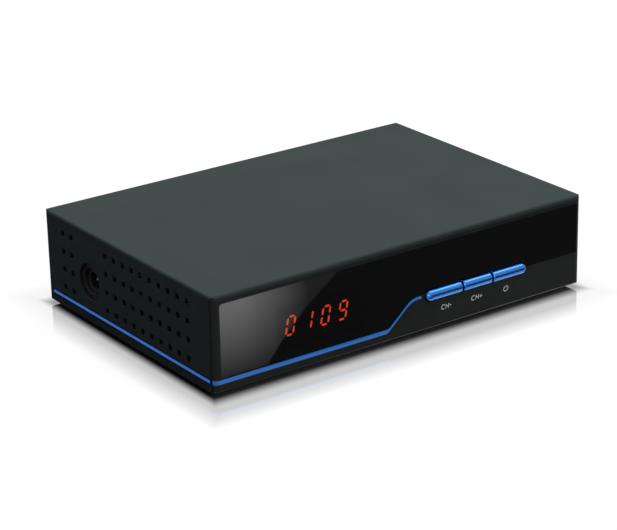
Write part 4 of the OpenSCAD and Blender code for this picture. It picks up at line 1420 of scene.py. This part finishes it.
@dataclass
class RearSockets:
    """Sockets in the rear panel and the power inlet, with their contacts. Sizes are in millimetres."""

    edge: float = 0.1
    contacts: tuple[ContactRow, ...] = (
        ContactRow("usb_contacts", "usb_tongue", 1.0, 7.0, 0.12, pitch=2.5, count=4, sides=(-1,)),
        ContactRow("hdmi_contacts", "hdmi_tongue", 0.42, 6.0, 0.08, pitch=1.0, count=10, sides=(-1, 1)),
    )

    def build(self) -> None:
        """Makes and dresses the sockets."""
        for node in ("antenna_socket", "loop_plug", "loop_core", "hdmi_shell", "usb_shell", "spdif_ring"):
            SoftEdges(self.edge).copy(node, Finishes.NICKEL)
        SoftEdges(self.edge).copy("dc_pin", Finishes.SHADED_PIN)
        for node in ("dc_jack", "scart_housing"):
            SoftEdges(self.edge).copy(node, Finishes.BLACK_MOULD)
        SoftEdges(self.edge).copy("spdif_body", Finishes.ORANGE_MOULD)
        SoftEdges(self.edge).copy("antenna_core", Finishes.WHITE_MOULD)
        dress(Finishes.BLACK_MOULD, "hdmi_tongue")
        dress(Finishes.WHITE_MOULD, "usb_tongue")
        dress(Finishes.GOLD, "scart_contacts")
        for row in self.contacts:
            row.build()


@dataclass
class Boards:
    """Circuit boards, the parts on them and what holds them. Sizes are in millimetres.

    A chip's legs leave it at a share of its height, and bend down and out at shares of their reach.
    """

    board_screw: Screw = Screw(5.4, 1.8, 2.6, 5.6)
    panel_screw: Screw = Screw(4.4, 1.5, 2.0, 7.6, recess_w=0.6, recess_deep=0.9)
    lead_t: float = 0.9
    lead_bend: float = 4.0
    lead_steps: int = 10
    leg_w: float = 0.24
    leg_t: float = 0.13
    leg_reach: float = 1.0
    leg_bends: Pair = (0.3, 0.55)
    leg_at: float = 0.5
    leg_pitch: float = 0.65
    legs_short: float = 1.2

    def build(self) -> None:
        """Makes and dresses the insides."""
        dress(Finishes.BOARD, "main_board", "front_board")
        dress(Finishes.NICKEL, "board_standoffs", "crystal")
        dress(Finishes.BLACK_MOULD, "processor", "memory_chips", "inductors")
        dress(Finishes.WHITE_MOULD, "thermal_pad", "panel_header", "main_header")
        dress(Finishes.ALUMINIUM, "heatsink", "capacitors")
        dress(Finishes.TIN, "tuner_can", "tuner_lid")
        self.ribbon()
        self.board_screw.replace("board_screws", "board_screws_set", upright=True)
        self.panel_screw.replace("front_board_screws", "front_board_screws_set", upright=False)
        self.legs("processor", (0, 1, 2, 3))
        self.legs("memory_chips", (0, 2))

    def ribbon(self) -> None:
        """Replaces the flat lead between the boards by its wires: straight out, round one bend, and down."""
        low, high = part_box("panel_lead")
        half, bend = self.lead_t / 2 * MM, self.lead_bend * MM
        middle, top, back = (low.x + high.x) / 2, high.z - half, high.y - half
        bent = [(middle, back - bend + bend * math.sin(turn), top - bend + bend * math.cos(turn))
                for turn in quarter_turn(self.lead_steps)]
        path = [(middle, low.y, top), *bent, (middle, back, low.z)]
        made = Ribbon.along("panel_lead_wires", path, high.x - low.x, self.lead_t * MM, Finishes.RIBBON)
        stand_in(made, "panel_lead")

    def legs(self, node: str, sides: Sequence[int]) -> None:
        """Sets gull-wing legs along the sides of chips.

        Args:
            node: the CAD node of the chips.
            sides: the sides with legs, in quarter turns from +X.
        """
        solids = solids_of(node)
        low, high = solids[0]
        lift = (high.z - low.z) / MM * self.leg_at
        pitch = self.leg_pitch * MM
        places, turns = [], []
        for low, high in solids:
            middle, half = (low + high) / 2, (high - low) / 2
            for side in sides:
                angle = side * QUARTER
                out = Vector((round(math.cos(angle)), round(math.sin(angle)), 0))
                way = Vector((-out.y, out.x, 0))
                reach = abs(out.x) * half.x + abs(out.y) * half.y
                span = abs(way.x) * half.x + abs(way.y) * half.y - self.legs_short * MM
                count = int(2 * span / pitch) + 1
                for n in range(count):
                    place = middle + out * reach + way * (n - (count - 1) / 2) * pitch
                    places.append((place.x, place.y, low.z))
                    turns.append((0.0, 0.0, angle))
        report(Repeat.along(f"{node}_legs", self.leg(lift), places, turns, Finishes.NICKEL))

    def leg(self, lift: float) -> Mesh:
        """Gull-wing leg along +X that leaves the package at a height and stands on the board.

        Args:
            lift: the height.

        Returns:
            The leg.
        """
        knee, toe = (self.leg_reach * share for share in self.leg_bends)
        half_w, half_t = self.leg_w / 2, self.leg_t / 2
        corners = [(-half_w, -half_t), (half_w, -half_t), (half_w, half_t), (-half_w, half_t)]
        shape = bmesh.new()
        rings = [[shape.verts.new((x * MM, across * MM, (z + up) * MM)) for across, up in corners]
                 for x, z in ((0.0, lift), (knee, lift), (toe, half_t), (self.leg_reach, half_t))]
        loft(shape, rings)
        return meshed(shape, "chip_leg")


def stage_sheet(name: str, corners: Sequence[Point]) -> tuple[Object, Shader]:
    """Adds a flat sheet of the stage.

    Args:
        name: name of the sheet.
        corners: its corners in order, in metres.

    Returns:
        The sheet, and the calls for the nodes of its material, which is empty.
    """
    mesh = bpy.data.meshes.new(name)
    mesh.from_pydata(list(corners), [], [tuple(range(len(corners)))])
    made = link(name, mesh)
    material = bpy.data.materials.new(f"stage_{name}")
    material.use_nodes = True
    material.node_tree.nodes.remove(material.node_tree.nodes["Principled BSDF"])
    mesh.materials.append(material)
    return made, Shader(material.node_tree)


def show(shader: Shader, surface: Socket) -> None:
    """Makes a surface what a stage material shows."""
    shader.put(shader.tree.nodes["Material Output"].inputs[0], surface)


@dataclass(frozen=True)
class Card:
    """A card that faces the case and that only glossy rays on its front see. Lengths are in metres.

    A card that fades glows less towards the case, and less to the right as the window mirrors it.
    """

    name: str
    corners: Sequence[Point]
    glow: float = 0.0
    fades: bool = False
    fade_ahead: Pair = (0.004, 0.064)
    fade_across: Pair = (-0.071, -0.04)
    fade_levels: Pair = (1.0, 0.1)
    mirror_lean: float = 0.65

    def build(self) -> None:
        """Sets the card."""
        made, shader = stage_sheet(self.name, self.corners)
        face = made.data.polygons[0]
        if face.normal.dot(Vector((0, FRONT_Y, COVER_HIGH.z)) - face.center) < 0:
            made.data.flip_normals()
        made.visible_camera = made.visible_diffuse = made.visible_shadow = made.visible_transmission = False
        made.active_material.cycles.emission_sampling = "NONE"
        glow = self.fading(shader) if self.fades else self.glow
        light = shader.out("ShaderNodeEmission", {"Strength": glow})
        behind = shader.node("ShaderNodeNewGeometry").outputs["Backfacing"]
        show(shader, shader.mix(behind, light, shader.out("ShaderNodeBsdfTransparent")))

    def fading(self, shader: Shader) -> Socket:
        """Glow of a card that fades.

        Args:
            shader: the calls for the card's material.

        Returns:
            The glow.
        """
        ahead = shader.math("SUBTRACT", FRONT_Y, shader.axis(shader.place(), "Y"))
        deep = shader.remap(ahead, self.fade_ahead, (0.0, self.glow))
        lean = shader.math("MULTIPLY", ahead, self.mirror_lean)
        shown_at = shader.math("SUBTRACT", shader.axis(shader.place(), "X"), lean)
        return shader.math("MULTIPLY", deep, shader.remap(shown_at, self.fade_across, self.fade_levels))


@dataclass(frozen=True)
class Lamp:
    """A soft lamp, whose size is its width and height. Lengths are in metres and power is in watts."""

    name: str
    place: Point
    aim: Point
    size: Pair
    power: float
    mirrored: bool = True

    def build(self) -> None:
        """Hangs the lamp."""
        light = bpy.data.lights.new(self.name, "AREA")
        light.shape = "RECTANGLE"
        light.size, light.size_y = self.size
        light.energy = self.power
        made = link(self.name, light)
        made.location = self.place
        made.rotation_euler = (Vector(self.aim) - Vector(self.place)).to_track_quat("-Z", "Y").to_euler()
        made.visible_camera = False
        made.visible_glossy = self.mirrored


@dataclass
class Studio:
    """White table with a soft shine, soft lamps, and cards that only reflections show.

    Lengths are in metres. A pair of distances is across and along the case. The slant is the line on the
    table between the dark card and the glare, as places across and distances ahead of the case.
    """

    floor_half: float = 4.0
    ambient: Pair = (0.085, 0.5)
    bright_side: Point = (0.92, 0.1, 0.3)
    side_span: Pair = (-0.2, 0.6)
    cool: Color = (1.0, 0.84, 1.08)
    bounce: float = 0.14
    lift: float = 0.92
    catch: float = 0.14
    # Outlines of the painted shadow round the case, where the table's glow fades out
    shade_from: Pair = (-0.001, -0.002)
    shade_to: Pair = (0.004, 0.006)
    shine: float = 0.4
    shine_rough: float = 0.04
    shine_from: Pair = (0.0045, 0.009)
    shine_to: Pair = (0.0145, 0.0205)
    lamps: tuple[Lamp, ...] = (
        Lamp("overhead", (0.16, 0.1, 0.9), (0.02, 0.0, 0.0), (1.2, 1.0), 5.6),
        Lamp("front", (0.5, -0.95, 0.5), (0.02, -0.06, 0.02), (0.5, 0.4), 3.2, mirrored=False),
    )
    card_z: float = 0.0006
    slant: tuple[Pair, ...] = ((-0.0544, 0.0112), (-0.0341, 0.029), (-0.0132, 0.0459), (0.0175, 0.0681),
                               (0.0353, 0.081))
    dark_right: float = 0.08
    dark_step: float = 0.026
    dark_corners: Pair = (0.03, 0.012)
    dark_glow: float = 0.065
    glare_left: float = -0.05
    glare: float = 2.75
    left_reach: float = 0.5
    distant_near_x: Pair = (0.04, 0.4)
    distant_away_x: Pair = (0.2, 1.8)
    distant_glow: float = 0.12
    wall_off: float = 1.1
    wall_x: Pair = (2.4, -0.8)
    wall_z: Point = (0.001, 0.28, 1.5)
    wall_glow: Pair = (0.15, 0.85)
    key_x: Pair = (0.2, 0.8)
    key_y: Pair = (-0.22, 0.1)
    key_z: float = 0.72
    key_light: float = 4.5
    rim_ends: tuple[Pair, Pair] = ((-0.62, -0.24), (-0.46, -0.5))
    rim_z: Pair = (0.12, 0.42)
    rim_light: float = 4.0

    def build(self) -> None:
        """Sets the table, the surroundings, the lamps and the cards."""
        self.table()
        self.surroundings()
        for thing in (*self.lamps, *self.cards()):
            thing.build()
            LOG.info("stage: %s", thing.name)

    def cards(self) -> list[Card]:
        """Dark cards and bright ones, for the reflections in the window, the keys, the line and the walls.

        Returns:
            The cards.
        """
        slant = [(x, FRONT_Y - ahead) for x, ahead in self.slant]
        near, far = slant[0][1], slant[-1][1]
        right, step = COVER_HIGH.x + self.dark_right, FRONT_Y - self.dark_step
        inner, outer = self.dark_corners
        dark = [*slant, (right, far), (right, step), (inner, step), (outer, near)]
        glare = [*slant, (self.glare_left, far), (COVER_LOW.x, near)]
        left, reach = COVER_LOW.x, self.left_reach
        beside = [(left - reach, FRONT_Y), (left - reach, reach), (left, reach), (left, FRONT_Y)]
        away = FRONT_Y - self.wall_off
        (near_0, near_1), (away_0, away_1) = self.distant_near_x, self.distant_away_x
        distant = [(near_0, far), (near_1, far), (away_1, away), (away_0, away)]
        wall = [(x, away) for x in self.wall_x]
        floor, split, top = self.wall_z
        (key_0, key_1), (key_front, key_back) = self.key_x, self.key_y
        over = [(key_0, key_front), (key_1, key_front), (key_1, key_back), (key_0, key_back)]
        return [
            Card("flag_front", self.level(dark, self.card_z), self.dark_glow),
            Card("glare_card", self.level(glare, self.card_z), self.glare, fades=True),
            Card("flag_left", self.level(beside, self.card_z)),
            Card("flag_far", self.level(distant, self.card_z), self.distant_glow),
            Card("flag_low", self.upright(wall, (floor, split)), self.wall_glow[0]),
            Card("flag_keys", self.upright(wall, (split, top)), self.wall_glow[1]),
            Card("key_light", self.level(over, self.key_z), self.key_light),
            Card("rim_light", self.upright(self.rim_ends, self.rim_z), self.rim_light),
        ]

    @staticmethod
    def level(outline: Sequence[Pair], height: float) -> list[Point]:
        """Corners of a level card from its outline."""
        return [(x, y, height) for x, y in outline]

    @staticmethod
    def upright(ends: Sequence[Pair], heights: Pair) -> list[Point]:
        """Corners of an upright card from the ends of its foot, and the heights of its foot and its top."""
        low, high = ([(*end, height) for end in ends] for height in heights)
        return [*low, *high[::-1]]

    def table(self) -> None:
        """Lays the table: white to the eye and in reflections, dim in the light that it throws back, with a
        painted shadow where its glow fades out close to the case.
        """
        half = self.floor_half
        corners = [(-half, -half), (half, -half), (half, half), (-half, half)]
        _, shader = stage_sheet("table", self.level(corners, 0.0))
        # Painted shadow: the table's glow fades out close to the case
        shadow = {"Value": self.near_case(shader, self.shade_from, self.shade_to), "To Max": self.lift}
        painted_shadow_glow = shader.out("ShaderNodeMapRange", shadow, interpolation_type="SMOOTHSTEP")
        lift = shader.out("ShaderNodeEmission", {"Strength": painted_shadow_glow})
        lifted = shader.out("ShaderNodeAddShader", {0: shader.matt(self.catch), 1: lift})
        mirror = shader.out("ShaderNodeBsdfGlossy", {"Roughness": self.shine_rough})
        away = self.near_case(shader, self.shine_from, self.shine_to)
        polished = shader.mix(shader.remap(away, UNIT, (self.shine, 0.0)), lifted, mirror)
        show(shader, shader.mix(self.seen_rays(shader), shader.matt(self.bounce), polished))

    @staticmethod
    def near_case(shader: Shader, start: Pair, end: Pair) -> Socket:
        """Place on the table between two outlines round the case.

        Args:
            shader: the calls for the material's nodes.
            start: distances of the inner outline from the case.
            end: distances of the outer outline from the case.

        Returns:
            0 on the inner outline and 1 on the outer one.
        """
        places = []
        for away, inner, outer in zip(shader.beyond(COVER_LOW, COVER_HIGH, "XY"), start, end):
            places.append(shader.math("DIVIDE", shader.math("SUBTRACT", away, inner), outer - inner))
        return shader.math("MAXIMUM", *places)

    @staticmethod
    def seen_rays(shader: Shader) -> Socket:
        """Tells what the camera sees directly, in a reflection or through glass from scattered light.

        Args:
            shader: the calls for the material's nodes.

        Returns:
            1 for what is seen and 0 for scattered light.
        """
        path = shader.node("ShaderNodeLightPath").outputs
        direct = shader.math("MAXIMUM", path["Is Camera Ray"], path["Is Glossy Ray"])
        return shader.math("MAXIMUM", direct, path["Is Transmission Ray"])

    def surroundings(self) -> None:
        """Makes the world white to the eye, and dim as a light that is stronger on one side."""
        world = bpy.data.worlds.new("surroundings")
        bpy.context.scene.world = world
        world.use_nodes = True
        shader = Shader(world.node_tree)
        background = world.node_tree.nodes["Background"]
        way = shader.node("ShaderNodeTexCoord").outputs["Generated"]
        facing = shader.node("ShaderNodeVectorMath", {0: way, 1: self.bright_side}, operation="DOT_PRODUCT")
        side = facing.outputs["Value"]
        seen = self.seen_rays(shader)
        scattered = shader.remap(side, self.side_span, self.ambient)
        shader.put(background.inputs["Strength"], shader.remap(seen, UNIT, (scattered, 1.0)))
        tinted = shader.blend(shader.remap(side, self.side_span, UNIT), self.cool, WHITE)
        shader.put(background.inputs["Color"], shader.blend(seen, tinted, WHITE))


@dataclass
class PhotoCamera:
    """Camera at the photograph's place, solved from the corners of the case.

    Place and clip are in metres, lens and sensor in millimetres, and roll in degrees.
    """

    place: Point = (-0.47929, -0.68034, 0.33753)
    forward: Point = (0.53597, 0.76117, -0.36518)
    roll: float = -1.228
    lens: float = 136.06
    sensor: float = 36.0
    clip: Pair = (0.05, 50.0)

    def build(self) -> None:
        """Adds the camera and makes it the scene's own."""
        data = bpy.data.cameras.new("photo_camera")
        data.sensor_fit = "HORIZONTAL"
        data.sensor_width = self.sensor
        data.lens = self.lens
        data.clip_start, data.clip_end = self.clip
        made = link("photo_camera", data)
        level = Vector(self.forward).to_track_quat("-Z", "Y").to_matrix().to_4x4()
        rolled = Matrix.Rotation(math.radians(self.roll), 4, "Z")
        made.matrix_world = Matrix.Translation(self.place) @ level @ rolled
        bpy.context.scene.camera = made


def main() -> None:
    """Builds the camera, the sub-assemblies and the studio in order."""
    logging.basicConfig(level=logging.INFO, format="%(name)s: %(message)s")
    bpy.context.scene.view_settings.view_transform = "Standard"
    for part in (PhotoCamera(), Case(), FrontPanel(), KeyRow(), Display(), RearSockets(), Boards(), Studio()):
        LOG.info("building %s", type(part).__name__)
        part.build()


if __name__ == "__main__":
    main()
